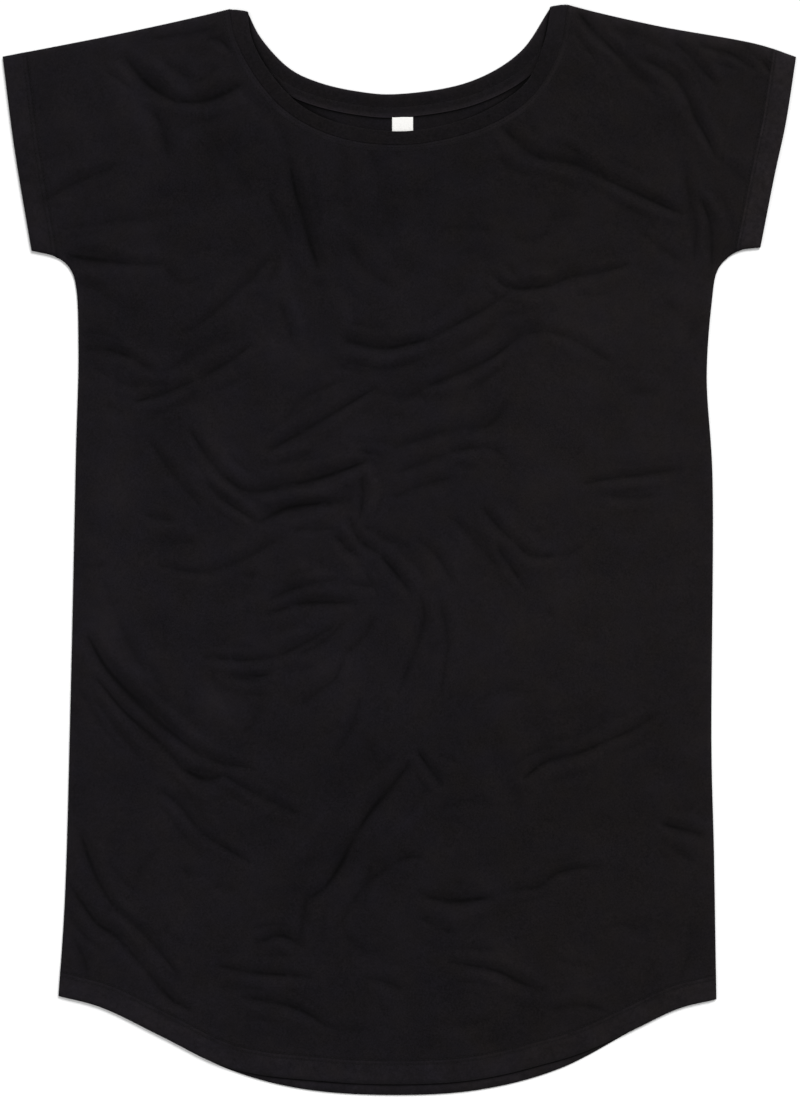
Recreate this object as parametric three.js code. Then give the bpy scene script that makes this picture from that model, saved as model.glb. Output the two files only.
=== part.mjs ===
import * as THREE from 'three';

// A t-shirt dress in black single jersey, laid flat on its back with the neck towards +Y.
// Sizes are in millimetres. X and Y are counted from the middle of the garment, Z from the floor.

// Cloth and seams
const clothWall = 1.0;
const seamGap = 0.3;
const hemExtra = 0.5;
const hemEaseOut = 6;
const sleeveHemDepth = 18;
const skirtHemDepth = 20;

// How the front lies over the back: it rests along the edges and stands off a little inside them
const frontRest = clothWall + seamGap;
const frontLoft = 2.5;
const loftReach = 30;

// The front's hem is cut shorter than the back's: rise, and the places in X where it begins and is full
const frontHem = { rise: 9, left: -150, leftFull: -60, rightFull: 110, right: 182 };

// A fold across its line, in half widths of its trough, and where it is full along its line
const foldRidge = { height: 0.5, away: 1.9, reach: 1.1 };
const foldFull = { from: 0.15, to: 0.8, runOut: 0.12 };

// Neckband: one folded strip, closed to a ring, that turns over at both shoulders
const bandThick = 1.8;
const bandSeamEase = { front: 1.2, back: 0.4 };
const bandFrontRest = 2.6;
const neckLiftReach = 20;
const bandEdgeRound = 0.55;

// Trim inside the back neck
const tapeWidth = 8;
const tapeThick = 0.8;
const tapeShare = { from: 0.06, to: 0.94 };
const labelSize = { width: 17.2, length: 25, thick: 0.8 };
const labelMiddleX = 3;

// Fineness of the meshes
const frontCell = 16;
const foldPull = 0.42 * frontCell;
const smallestEdgeCell = 0.04 * frontCell * frontCell;
const edgeStep = 8;
const bandSteps = { along: 52, turn: 8 };
const tapeSteps = 36;
const foldSteps = 12;

const jersey = { color: 0x1a181a, roughness: 0.92, metalness: 0 };
const wovenLabel = { color: 0xeceae6, roughness: 0.7, metalness: 0 };

// Edge runs that both panels share, each a smooth curve through its rows, counterclockwise from the left
// neck point
const edgeRuns = {
  shoulderLeft: [
    { x: -138.5, y: 443.3 },
    { x: -163.0, y: 437.6 },
    { x: -229.0, y: 423.2 },
    { x: -325.5, y: 404.3 },
  ],
  cuffLeft: [
    { x: -325.5, y: 404.3 },
    { x: -315.7, y: 328.7 },
    { x: -301.7, y: 244.9 },
  ],
  sideLeft: [
    { x: -301.7, y: 244.9 },
    { x: -281.2, y: 239.8 },
    { x: -270.1, y: 230.3 },
    { x: -265.5, y: 217.2 },
    { x: -263.2, y: 163.0 },
    { x: -265.2, y: 81.0 },
    { x: -269.7, y: -124.0 },
    { x: -274.4, y: -288.0 },
    { x: -279.6, y: -367.2 },
  ],
  skirtHem: [
    { x: -279.6, y: -367.2 },
    { x: -245.1, y: -376.3 },
    { x: -195.9, y: -399.9 },
    { x: -138.5, y: -428.1 },
    { x: -81.0, y: -443.4 },
    { x: -7.3, y: -448.7 },
    { x: 66.5, y: -444.3 },
    { x: 132.0, y: -427.0 },
    { x: 197.7, y: -392.5 },
    { x: 230.5, y: -377.2 },
    { x: 260.8, y: -369.9 },
  ],
  sideRight: [
    { x: 260.8, y: -369.9 },
    { x: 258.8, y: -247.0 },
    { x: 256.8, y: -165.0 },
    { x: 257.6, y: 60.6 },
    { x: 252.9, y: 142.6 },
    { x: 257.2, y: 204.1 },
    { x: 260.9, y: 227.0 },
    { x: 267.3, y: 236.9 },
    { x: 279.7, y: 245.2 },
    { x: 296.9, y: 247.6 },
  ],
  cuffRight: [
    { x: 296.9, y: 247.6 },
    { x: 309.0, y: 309.1 },
    { x: 317.5, y: 348.4 },
    { x: 326.2, y: 404.0 },
  ],
  shoulderRight: [
    { x: 326.2, y: 404.0 },
    { x: 296.1, y: 414.2 },
    { x: 214.1, y: 429.3 },
    { x: 156.7, y: 442.1 },
    { x: 137.8, y: 447.0 },
  ],
};

// Both edges of the neckband from the left shoulder to the right: its seam and its free edge, in front and
// behind
const neckCurves = {
  frontSeam: [
    { x: -138.5, y: 443.3 },
    { x: -134.0, y: 419.8 },
    { x: -115.0, y: 384.5 },
    { x: -88.5, y: 356.9 },
    { x: -49.1, y: 338.2 },
    { x: 0.9, y: 332.0 },
    { x: 50.9, y: 340.0 },
    { x: 87.0, y: 355.0 },
    { x: 110.8, y: 373.7 },
    { x: 130.8, y: 409.1 },
    { x: 137.8, y: 447.0 },
  ],
  frontFree: [
    { x: -124.3, y: 441.0 },
    { x: -120.5, y: 418.1 },
    { x: -105.2, y: 390.2 },
    { x: -80.3, y: 364.0 },
    { x: -49.1, y: 349.6 },
    { x: 0.9, y: 342.7 },
    { x: 44.4, y: 349.6 },
    { x: 74.7, y: 361.5 },
    { x: 105.0, y: 383.5 },
    { x: 119.0, y: 415.7 },
    { x: 124.7, y: 445.0 },
  ],
  backSeam: [
    { x: -138.5, y: 443.3 },
    { x: -124.6, y: 413.9 },
    { x: -95.3, y: 384.7 },
    { x: -68.1, y: 372.4 },
    { x: -33.5, y: 364.7 },
    { x: -3.2, y: 362.6 },
    { x: 61.9, y: 373.5 },
    { x: 107.9, y: 400.1 },
    { x: 137.8, y: 447.0 },
  ],
  backFree: [
    { x: -124.3, y: 441.0 },
    { x: -113.9, y: 420.5 },
    { x: -89.3, y: 394.3 },
    { x: -64.7, y: 382.9 },
    { x: -31.9, y: 375.6 },
    { x: -3.2, y: 373.6 },
    { x: 58.3, y: 383.9 },
    { x: 99.3, y: 408.0 },
    { x: 124.7, y: 445.0 },
  ],
};

// Largest folds of the front: a trough bends from its start over a middle point to its end, and reach is its
// half width
const frontFolds = [
  { from: [-224, 402], via: [-206, 382], to: [-181, 364], reach: 9, depth: 2.5 },
  { from: [-183, 366], via: [-160, 368], to: [-130, 381], reach: 8, depth: 2.2 },
  { from: [-276, 242], via: [-237, 236], to: [-170, 230], reach: 8, depth: 2.3 },
  { from: [-89, 315], via: [-78, 267], to: [-68, 235], reach: 8, depth: 2.4 },
  { from: [84, 338], via: [132, 316], to: [235, 276], reach: 10, depth: 2.5 },
  { from: [149, 436], via: [180, 401], to: [213, 368], reach: 8, depth: 2.2 },
  { from: [196, 400], via: [240, 368], to: [262, 316], reach: 8, depth: 2.3 },
  { from: [249, 286], via: [257, 262], to: [257, 236], reach: 7, depth: 2.0 },
  { from: [82, 219], via: [132, 216], to: [198, 229], reach: 9, depth: 2.0 },
  { from: [-44, 170], via: [-11, 164], to: [33, 172], reach: 10, depth: 2.3 },
  { from: [26, 134], via: [50, 144], to: [100, 167], reach: 8, depth: 1.8 },
  { from: [-212, 122], via: [-188, 129], to: [-122, 164], reach: 8, depth: 2.0 },
  { from: [-106, 81], via: [-57, 112], to: [-18, 132], reach: 9, depth: 2.4 },
  { from: [-122, 46], via: [-73, 54], to: [-24, 73], reach: 9, depth: 2.3 },
  { from: [-115, 22], via: [-89, 36], to: [-48, 38], reach: 8, depth: 2.3 },
  { from: [-159, 56], via: [-143, 40], to: [-113, 20], reach: 8, depth: 2.1 },
  { from: [-30, 58], via: [-24, 12], to: [11, -38], reach: 8, depth: 2.1 },
  { from: [62, 40], via: [90, 0], to: [106, -34], reach: 8, depth: 1.8 },
  { from: [-106, -52], via: [-73, -46], to: [-36, -45], reach: 8, depth: 2.1 },
  { from: [-160, -90], via: [-122, -94], to: [-70, -74], reach: 9, depth: 1.9 },
  { from: [-258, -62], via: [-229, -112], to: [-180, -158], reach: 9, depth: 2.5 },
  { from: [-232, -124], via: [-204, -156], to: [-181, -181], reach: 8, depth: 2.2 },
  { from: [-182, -180], via: [-145, -192], to: [-72, -219], reach: 11, depth: 2.5 },
  { from: [8, -178], via: [-28, -227], to: [-60, -276], reach: 11, depth: 2.5 },
  { from: [-52, -270], via: [-76, -284], to: [-81, -318], reach: 9, depth: 2.3 },
  { from: [16, -167], via: [26, -182], to: [36, -193], reach: 8, depth: 2.0 },
  { from: [103, -188], via: [142, -167], to: [208, -137], reach: 9, depth: 2.2 },
  { from: [-258, -246], via: [-241, -286], to: [-182, -344], reach: 8, depth: 2.2 },
  { from: [-268, -276], via: [-236, -318], to: [-172, -378], reach: 9, depth: 2.3 },
  { from: [-146, -342], via: [-105, -350], to: [-74, -351], reach: 8, depth: 2.2 },
  { from: [-124, -368], via: [-84, -376], to: [-30, -396], reach: 9, depth: 2.2 },
  { from: [42, -338], via: [84, -346], to: [118, -362], reach: 9, depth: 2.1 },
  { from: [22, -285], via: [50, -288], to: [80, -286], reach: 8, depth: 2.0 },
];

// Smooth curve through the rows of a table
function smoothCurve(rows) {
  const points = rows.map((row) => new THREE.Vector3(row.x, row.y, 0));
  return new THREE.CatmullRomCurve3(points, false, 'centripetal');
}

// The same curve as points no more than step apart
function smoothRun(rows, step) {
  const curve = smoothCurve(rows);
  return curve.getSpacedPoints(Math.ceil(curve.getLength() / step));
}

// Rises from 0 at low to 1 at high
function ramp(value, low, high) {
  return THREE.MathUtils.smoothstep(value, low, high);
}

// Rises to 1 at 0 and falls off on both sides
function bell(value) {
  return Math.exp(-value * value);
}

// The front's hem sits higher than the back's between two places, where the back shows below it
function raisedHem(points) {
  return points.map((point) => {
    const begins = ramp(point.x, frontHem.left, frontHem.leftFull);
    const ends = 1 - ramp(point.x, frontHem.rightFull, frontHem.right);
    return new THREE.Vector3(point.x, point.y + frontHem.rise * begins * ends, 0);
  });
}

// Closed outline of a panel, its runs end to end, with the places where it has a corner
function panelOutline(neckSeam, isFront) {
  const shared = Object.entries(edgeRuns).map(([name, rows]) => {
    const run = smoothRun(rows, edgeStep);
    return name === 'skirtHem' && isFront ? raisedHem(run) : run;
  });
  const runs = [...shared, smoothRun(neckSeam, edgeStep).reverse()];
  return { points: runs.flatMap((run) => run.slice(0, -1)), corners: runs.map((run) => run[0]) };
}

// Nearest place on a chain of points, and how far along the chain it lies from 0 to 1
function nearestOn(chain, x, y, closed) {
  const last = closed ? chain.length : chain.length - 1;
  let best = { distance: Infinity, x, y, share: 0 };
  for (let i = 0; i < last; i += 1) {
    const a = chain[i];
    const b = chain[(i + 1) % chain.length];
    const dx = b.x - a.x;
    const dy = b.y - a.y;
    const t = THREE.MathUtils.clamp(((x - a.x) * dx + (y - a.y) * dy) / (dx * dx + dy * dy), 0, 1);
    const distance = Math.hypot(a.x + t * dx - x, a.y + t * dy - y);
    if (distance < best.distance) {
      best = { distance, x: a.x + t * dx, y: a.y + t * dy, share: (i + t) / last };
    }
  }
  return best;
}

// True where a place lies inside a closed chain, by counting the edges that a ray along +X crosses
function isInside(chain, x, y) {
  let inside = false;
  chain.forEach((a, i) => {
    const b = chain[(i + 1) % chain.length];
    if (a.y > y !== b.y > y && x < a.x + ((y - a.y) * (b.x - a.x)) / (b.y - a.y)) {
      inside = !inside;
    }
  });
  return inside;
}

// Centre line of each fold: a quadratic curve that passes through the middle point
const foldLines = frontFolds.map((fold) => {
  const from = new THREE.Vector2(...fold.from);
  const to = new THREE.Vector2(...fold.to);
  const pull = new THREE.Vector2(...fold.via).multiplyScalar(2).sub(from.clone().add(to).multiplyScalar(0.5));
  return { ...fold, chain: new THREE.QuadraticBezierCurve(from, pull, to).getPoints(foldSteps) };
});

// Height that one fold adds: a trough with a softer ridge on each side, both fading out at its ends
function foldHeight(fold, x, y) {
  const near = nearestOn(fold.chain, x, y, false);
  const across = near.distance / fold.reach;
  const starts = ramp(near.share, -foldFull.runOut, foldFull.from);
  const ends = 1 - ramp(near.share, foldFull.to, 1 + foldFull.runOut);
  const ridge = foldRidge.height * bell((across - foldRidge.away) / foldRidge.reach);
  return fold.depth * starts * ends * (ridge - bell(across));
}

const cuffEdges = [edgeRuns.cuffLeft, edgeRuns.cuffRight].map((rows) => smoothRun(rows, edgeStep));
const skirtEdge = raisedHem(smoothRun(edgeRuns.skirtHem, edgeStep));
const bodyEdges = Object.values(edgeRuns).map((rows) => smoothRun(rows, edgeStep));
const neckEdge = smoothRun(neckCurves.frontSeam, edgeStep);

// Inner face of the front: on the back at its edges, at the band's height round the neck, and stood off and
// folded inside
function frontInner(x, y) {
  const toEdge = Math.min(...bodyEdges.map((edge) => nearestOn(edge, x, y, false).distance));
  const toNeck = nearestOn(neckEdge, x, y, false).distance;
  const neckLift = (bandFrontRest - frontRest) * bell(toNeck / neckLiftReach);
  const loft = frontLoft * (1 - bell(toEdge / loftReach)) * (1 - bell(toNeck / loftReach));
  const folds = foldLines.reduce((sum, fold) => sum + foldHeight(fold, x, y), 0);
  const inside = ramp(toEdge, 0, loftReach / 2) * ramp(toNeck, 0, loftReach / 2);
  return Math.max(frontRest, frontRest + neckLift + loft + folds * inside);
}

// Outer face of the front: one wall further out, and a turned edge more at the cuffs and the skirt hem
function frontOuter(x, y) {
  const toCuff = Math.min(...cuffEdges.map((edge) => nearestOn(edge, x, y, false).distance));
  const toSkirt = nearestOn(skirtEdge, x, y, false).distance;
  const turnedCuff = 1 - ramp(toCuff, sleeveHemDepth, sleeveHemDepth + hemEaseOut);
  const turnedSkirt = 1 - ramp(toSkirt, skirtHemDepth, skirtHemDepth + hemEaseOut);
  return frontInner(x, y) + clothWall + hemExtra * Math.max(turnedCuff, turnedSkirt);
}

// Grid over an outline: points near the edge are set onto it, points near a fold onto its line
function clothGrid(outline, cell) {
  const box = new THREE.Box3().setFromPoints(outline.points);
  const columns = Math.ceil((box.max.x - box.min.x) / cell) + 1;
  const rows = Math.ceil((box.max.y - box.min.y) / cell) + 1;
  const nodes = [];
  for (let j = 0; j <= rows; j += 1) {
    for (let i = 0; i <= columns; i += 1) {
      nodes.push(gridNode(outline, box.min.x + (i - 0.5) * cell, box.min.y + (j - 0.5) * cell, cell));
    }
  }
  for (const corner of outline.corners) {
    const away = (node) => Math.hypot(node.x - corner.x, node.y - corner.y);
    const nearest = nodes.filter((node) => node.onEdge).reduce((a, b) => (away(a) < away(b) ? a : b));
    nearest.x = corner.x;
    nearest.y = corner.y;
  }
  return { nodes, columns, rows };
}

// One grid point: kept inside the outline or within half a cell of it
function gridNode(outline, x, y, cell) {
  const edge = nearestOn(outline.points, x, y, true);
  if (edge.distance < cell / 2) {
    return { x: edge.x, y: edge.y, kept: true, onEdge: true };
  }
  const node = { x, y, kept: isInside(outline.points, x, y), onEdge: false };
  if (!node.kept) {
    return node;
  }
  const folds = foldLines.map((fold) => nearestOn(fold.chain, x, y, false));
  const line = folds.reduce((a, b) => (a.distance < b.distance ? a : b));
  return line.distance < foldPull ? { ...node, x: line.x, y: line.y } : node;
}

// Triangles of the grid, each cell cut along its shorter diagonal. Slivers with all three points on the edge
// are left out.
function gridTriangles(grid, outline) {
  const { nodes, columns, rows } = grid;
  const triangles = [];
  for (let j = 0; j < rows; j += 1) {
    for (let i = 0; i < columns; i += 1) {
      const start = j * (columns + 1) + i;
      const ring = [start, start + 1, start + columns + 2, start + columns + 1];
      const kept = ring.filter((index) => nodes[index].kept);
      if (kept.length === 3) {
        triangles.push(kept);
      } else if (kept.length === 4) {
        const [a, b, c, d] = kept;
        const length = (p, q) => Math.hypot(nodes[p].x - nodes[q].x, nodes[p].y - nodes[q].y);
        triangles.push(...(length(a, c) < length(b, d) ? [[a, b, c], [a, c, d]] : [[a, b, d], [b, c, d]]));
      }
    }
  }
  return triangles.filter((triangle) => {
    const [a, b, c] = triangle.map((index) => nodes[index]);
    const area = ((b.x - a.x) * (c.y - a.y) - (c.x - a.x) * (b.y - a.y)) / 2;
    const allOnEdge = a.onEdge && b.onEdge && c.onEdge;
    const middleInside = isInside(outline.points, (a.x + b.x + c.x) / 3, (a.y + b.y + c.y) / 3);
    return !allOnEdge || (area > smallestEdgeCell && middleInside);
  });
}

// Closed wall between an inner and an outer height over the same triangles
function clothWallGeometry(outline, cell, inner, outer) {
  const grid = clothGrid(outline, cell);
  const triangles = gridTriangles(grid, outline);
  const used = [...new Set(triangles.flat())];
  const place = new Map(used.map((index, order) => [index, order]));
  const at = (height) => used.map((index) => {
    const { x, y } = grid.nodes[index];
    return [x, y, height(x, y)];
  });
  const positions = [...at(outer), ...at(inner)].flat();
  const top = triangles.map((triangle) => triangle.map((index) => place.get(index)));
  const faces = top.flatMap(([a, b, c]) => [[a, b, c], [a + used.length, c + used.length, b + used.length]]);
  const edges = new Set(top.flatMap(([a, b, c]) => [`${a},${b}`, `${b},${c}`, `${c},${a}`]));
  for (const edge of edges) {
    const [a, b] = edge.split(',').map(Number);
    if (!edges.has(`${b},${a}`)) {
      faces.push([b, a, a + used.length], [b, a + used.length, b + used.length]);
    }
  }
  return solidGeometry(positions, faces);
}

function solidGeometry(positions, faces) {
  const geometry = new THREE.BufferGeometry();
  geometry.setAttribute('position', new THREE.Float32BufferAttribute(positions, 3));
  geometry.setIndex(faces.flat());
  geometry.computeVertexNormals();
  return geometry;
}

// Sections joined into a tube, either closed to a ring or capped at both ends
function sweptGeometry(sections, closed) {
  const size = sections[0].length;
  const faces = [];
  const last = closed ? sections.length : sections.length - 1;
  for (let i = 0; i < last; i += 1) {
    const here = i * size;
    const next = ((i + 1) % sections.length) * size;
    for (let k = 0; k < size; k += 1) {
      const after = (k + 1) % size;
      faces.push([here + k, here + after, next + after], [here + k, next + after, next + k]);
    }
  }
  if (!closed) {
    const end = (sections.length - 1) * size;
    for (let k = 1; k < size - 1; k += 1) {
      faces.push([0, k + 1, k], [end, end + k, end + k + 1]);
    }
  }
  return solidGeometry(sections.flatMap((section) => section.flatMap((point) => point.toArray())), faces);
}

// Eight points round a strip's section, from its seam to its free edge, with its outer side along normal
function bandSection({ seam, free, normal, ease }) {
  const across = free.clone().sub(seam).normalize();
  const half = bandThick / 2;
  const step = (point, out, up) => point.clone().addScaledVector(across, out).addScaledVector(normal, up);
  const sewn = step(seam, ease, 0);
  return [
    step(sewn, 0, -half * 0.4),
    step(sewn, bandEdgeRound, -half),
    step(free, -bandEdgeRound, -half),
    step(free, 0, -half * 0.4),
    step(free, 0, half * 0.4),
    step(free, -bandEdgeRound, half),
    step(sewn, bandEdgeRound, half),
    step(sewn, 0, half * 0.4),
  ];
}

// Seam and free edge of the band across from each other, at shares along their curves
function bandStations(side, shares, z, normalZ) {
  const seam = smoothCurve(neckCurves[`${side}Seam`]);
  const free = smoothCurve(neckCurves[`${side}Free`]);
  return shares.map((share) => ({
    seam: seam.getPointAt(share).setZ(z),
    free: free.getPointAt(share).setZ(z),
    normal: new THREE.Vector3(0, 0, normalZ),
    ease: bandSeamEase[side],
  }));
}

// Half circle about X that carries the band from the end of its front to the end of its back
function bandTurn(frontEnd, backEnd, radius) {
  const middleZ = (frontEnd.seam.z + backEnd.seam.z) / 2;
  return Array.from({ length: bandSteps.turn + 1 }, (_, k) => {
    const angle = (Math.PI * k) / bandSteps.turn;
    const blend = (1 - Math.cos(angle)) / 2;
    const place = (a, b) => {
      const point = a.clone().lerp(b, blend).setZ(middleZ);
      return point.add(new THREE.Vector3(0, radius * Math.sin(angle), radius * Math.cos(angle)));
    };
    return {
      seam: place(frontEnd.seam, backEnd.seam),
      free: place(frontEnd.free, backEnd.free),
      normal: new THREE.Vector3(0, Math.sin(angle), Math.cos(angle)),
      ease: THREE.MathUtils.lerp(frontEnd.ease, backEnd.ease, blend),
    };
  });
}

// Ring of sections: along the front, over the right shoulder, along the back and over the left shoulder
function neckbandGeometry() {
  const frontZ = bandFrontRest + bandThick / 2;
  const backZ = bandThick / 2;
  const radius = (frontZ - backZ) / 2;
  const endShare = (radius + bandThick / 2) / smoothCurve(neckCurves.frontSeam).getLength();
  const inner = Array.from({ length: bandSteps.along - 1 }, (_, k) => (k + 1) / bandSteps.along);
  const shares = [endShare, ...inner, 1 - endShare];
  const front = bandStations('front', shares, frontZ, 1);
  const back = bandStations('back', shares, backZ, -1).reverse();
  const right = bandTurn(front.at(-1), back.at(0), radius);
  const left = bandTurn(front.at(0), back.at(-1), radius).reverse();
  const stations = [...front.slice(1, -1), ...right, ...back.slice(1, -1), ...left];
  return sweptGeometry(stations.map(bandSection), true);
}

// Flat strip along the back neck seam, on the back panel
function neckTapeGeometry() {
  const seam = smoothCurve(neckCurves.backSeam);
  const low = clothWall + seamGap;
  const sections = Array.from({ length: tapeSteps + 1 }, (_, k) => {
    const share = THREE.MathUtils.lerp(tapeShare.from, tapeShare.to, k / tapeSteps);
    const point = seam.getPointAt(share);
    const along = seam.getTangentAt(share);
    const down = new THREE.Vector3(along.y, -along.x, 0);
    const corner = (out, z) => point.clone().addScaledVector(down, out).setZ(z);
    return [
      corner(seamGap, low),
      corner(seamGap, low + tapeThick),
      corner(seamGap + tapeWidth, low + tapeThick),
      corner(seamGap + tapeWidth, low),
    ];
  });
  return sweptGeometry(sections, false);
}

function named(name, geometry, look) {
  const mesh = new THREE.Mesh(geometry, new THREE.MeshStandardMaterial(look));
  mesh.name = name;
  return mesh;
}

// Bare label, hung from the lower edge of the tape and lying on the back
function sizeLabel() {
  const geometry = new THREE.BoxGeometry(labelSize.width, labelSize.length, labelSize.thick);
  const label = named('size_label', geometry, wovenLabel);
  const seamY = nearestOn(smoothRun(neckCurves.backSeam, edgeStep), labelMiddleX, 0, false).y;
  const top = seamY - tapeWidth - 2 * seamGap;
  label.position.set(labelMiddleX, top - labelSize.length / 2, clothWall + seamGap + labelSize.thick / 2);
  return label;
}

function backPanel() {
  const outline = panelOutline(neckCurves.backSeam, false);
  const shape = new THREE.Shape(outline.points.map((point) => new THREE.Vector2(point.x, point.y)));
  const geometry = new THREE.ExtrudeGeometry(shape, { depth: clothWall, bevelEnabled: false });
  return named('back_panel', geometry, jersey);
}

function frontPanel() {
  const outline = panelOutline(neckCurves.frontSeam, true);
  return named('front_panel', clothWallGeometry(outline, frontCell, frontInner, frontOuter), jersey);
}

const dress = new THREE.Group();
dress.add(backPanel());
dress.add(frontPanel());
dress.add(named('neckband', neckbandGeometry(), jersey));
dress.add(named('back_neck_tape', neckTapeGeometry(), jersey));
dress.add(sizeLabel());

export default dress;
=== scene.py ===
from math import pi, radians
import bpy
import numpy as np
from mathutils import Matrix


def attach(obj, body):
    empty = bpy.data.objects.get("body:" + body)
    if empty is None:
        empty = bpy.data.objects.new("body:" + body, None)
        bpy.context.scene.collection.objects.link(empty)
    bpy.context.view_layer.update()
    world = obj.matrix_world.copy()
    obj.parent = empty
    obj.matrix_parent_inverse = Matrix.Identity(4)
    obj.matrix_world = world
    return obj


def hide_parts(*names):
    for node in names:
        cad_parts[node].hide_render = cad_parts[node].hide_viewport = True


# A black jersey t-shirt dress laid flat on its back, neck towards +Y. The tables are in millimetres from
# the middle of the garment; everything goes into Blender in metres.
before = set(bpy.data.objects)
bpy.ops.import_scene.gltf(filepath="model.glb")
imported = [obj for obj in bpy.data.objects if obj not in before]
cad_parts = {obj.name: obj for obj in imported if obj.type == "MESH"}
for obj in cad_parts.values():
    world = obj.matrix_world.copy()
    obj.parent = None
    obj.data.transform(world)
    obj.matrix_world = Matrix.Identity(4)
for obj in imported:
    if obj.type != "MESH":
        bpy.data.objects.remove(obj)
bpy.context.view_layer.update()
mm = 0.001


# Camera, floor and light

studio = {
    "viewMiddle": (0.9, -0.5, 5.0),  # what the lens looks straight down at
    "viewHeight": 901.2,  # millimetres of cloth and floor from the top of the picture to its foot
    "lens": 85.0,
    "floorSize": 8.0,
    "floorColour": (0.93, 0.93, 0.93, 1),
    "skyStrength": 0.50,
    "keyStrength": 2.7,
    "keyFrom": (0.40, 0.85, 0.90),
    "keySoftness": 28,
    "fillStrength": 0.4,
    "fillFrom": (-0.8, -0.2, 0.8),
    "fillSoftness": 60,
}


def evenLight(name, strength, comesFrom, softness):
    # Light from far off in one direction, softened to so many degrees wide, as even as from a large soft box
    light = bpy.data.lights.new(name, "SUN")
    light.energy, light.angle = strength, radians(softness)
    lamp = bpy.data.objects.new(name, light)
    lamp.location = comesFrom
    x, y, z = comesFrom
    lamp.rotation_euler = (np.arctan2(np.hypot(x, y), z), 0, np.arctan2(x, -y))
    bpy.context.scene.collection.objects.link(lamp)


def makeStudio():
    scene = bpy.context.scene
    camera = bpy.data.cameras.new("overheadCamera")
    camera.lens, camera.sensor_width, camera.clip_end = studio["lens"], 36.0, 20.0
    stand = bpy.data.objects.new("overheadCamera", camera)
    x, y, z = studio["viewMiddle"]
    stand.location = (x * mm, y * mm, z * mm + studio["viewHeight"] * mm * studio["lens"] / 36.0)
    scene.collection.objects.link(stand)
    scene.camera = stand
    half = studio["floorSize"] / 2
    mesh = bpy.data.meshes.new("paleFloor")
    corners = [(-half, -half, 0), (half, -half, 0), (half, half, 0), (-half, half, 0)]
    mesh.from_pydata(corners, [], [(0, 1, 2, 3)])
    paper = bpy.data.materials.new("paleFloor")
    paper.use_nodes = True
    coat = paper.node_tree.nodes["Principled BSDF"]
    coat.inputs["Base Color"].default_value = studio["floorColour"]
    coat.inputs["Roughness"].default_value = 0.9
    coat.inputs["Specular IOR Level"].default_value = 0.1
    mesh.materials.append(paper)
    floor = bpy.data.objects.new("paleFloor", mesh)
    floor.location.z = -0.0004
    scene.collection.objects.link(floor)
    evenLight("keyLight", studio["keyStrength"], studio["keyFrom"], studio["keySoftness"])
    evenLight("fillLight", studio["fillStrength"], studio["fillFrom"], studio["fillSoftness"])
    world = bpy.data.worlds.new("softSky")
    world.use_nodes = True
    sky = world.node_tree.nodes["Background"]
    sky.inputs["Color"].default_value = (1, 1, 1, 1)
    sky.inputs["Strength"].default_value = studio["skyStrength"]
    scene.world = world
    scene.view_settings.view_transform = "Standard"
    print("studio ready")


# Curves and distances

def ramp(value, low, high):
    # Smooth step from 0 at low to 1 at high
    t = np.clip((value - low) / (high - low), 0, 1)
    return t * t * (3 - 2 * t)


def bell(value):
    # 1 at 0, falling off on both sides as e to the minus square
    return np.exp(-value * value)


def smoothCurve(rows, step):
    # A centripetal Catmull-Rom curve through the rows, then set out again at even lengths of at most step
    rows = np.array(rows, float)
    ends = np.vstack([2 * rows[0] - rows[1], rows, 2 * rows[-1] - rows[-2]])
    a, b, c, d = ends[:-3], ends[1:-2], ends[2:-1], ends[3:]
    span = lambda p, q: np.sqrt(np.linalg.norm(q - p, axis=1))[:, None]
    ab, bc, cd = span(a, b), span(b, c), span(c, d)
    leave = ((b - a) / ab - (c - a) / (ab + bc) + (c - b) / bc) * bc
    arrive = ((c - b) / bc - (d - b) / (bc + cd) + (d - c) / cd) * bc
    t = np.linspace(0, 1, 24, endpoint=False)[None, :, None]
    b, c, leave, arrive = b[:, None], c[:, None], leave[:, None], arrive[:, None]
    curve = b + leave * t + (3 * (c - b) - 2 * leave - arrive) * t**2 + (2 * (b - c) + leave + arrive) * t**3
    return evenRun(np.vstack([curve.reshape(-1, 2), rows[-1:]]), step)


def runLength(run):
    return np.linalg.norm(np.diff(run, axis=0), axis=1).sum()


def alongRun(run, shares):
    # Points at shares of a run's length, from 0 to 1
    gone = np.concatenate([[0], np.linalg.norm(np.diff(run, axis=0), axis=1).cumsum()])
    return np.stack([np.interp(np.asarray(shares) * gone[-1], gone, run[:, k]) for k in range(run.shape[1])], 1)


def evenRun(run, step):
    return alongRun(run, np.linspace(0, 1, int(np.ceil(runLength(run) / step)) + 1))


def runSides(run):
    # Unit direction along a run at each point, and the direction to its left
    along = np.gradient(run, axis=0)
    along /= np.linalg.norm(along, axis=1)[:, None]
    return along, np.stack([-along[:, 1], along[:, 0]], 1)


def nearestOn(run, places):
    # For each place: distance to the run, share along it, which side it is on (+1 left) and the nearest point
    start, leg = run[:-1], np.diff(run, axis=0)
    reach = (leg**2).sum(1)
    found = []
    for some in np.array_split(places, max(1, len(places) * len(leg) // 3_000_000)):
        out = some[:, None] - start
        t = np.clip((out * leg).sum(2) / reach, 0, 1)
        out -= t[..., None] * leg
        gap = np.hypot(out[..., 0], out[..., 1])
        best = gap.argmin(1)
        row = np.arange(len(some))
        off, way = out[row, best], leg[best]
        side = np.sign(way[:, 0] * off[:, 1] - way[:, 1] * off[:, 0])
        share = (best + t[row, best]) / len(leg)
        found.append(np.column_stack([gap[row, best], share, side, some - off]))
    found = np.vstack(found)
    return found[:, 0], found[:, 1], found[:, 2], found[:, 3:]


def gapTo(runs, places):
    # Distance to the nearest of several runs
    return np.min([nearestOn(run, places)[0] for run in runs], axis=0)


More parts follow.
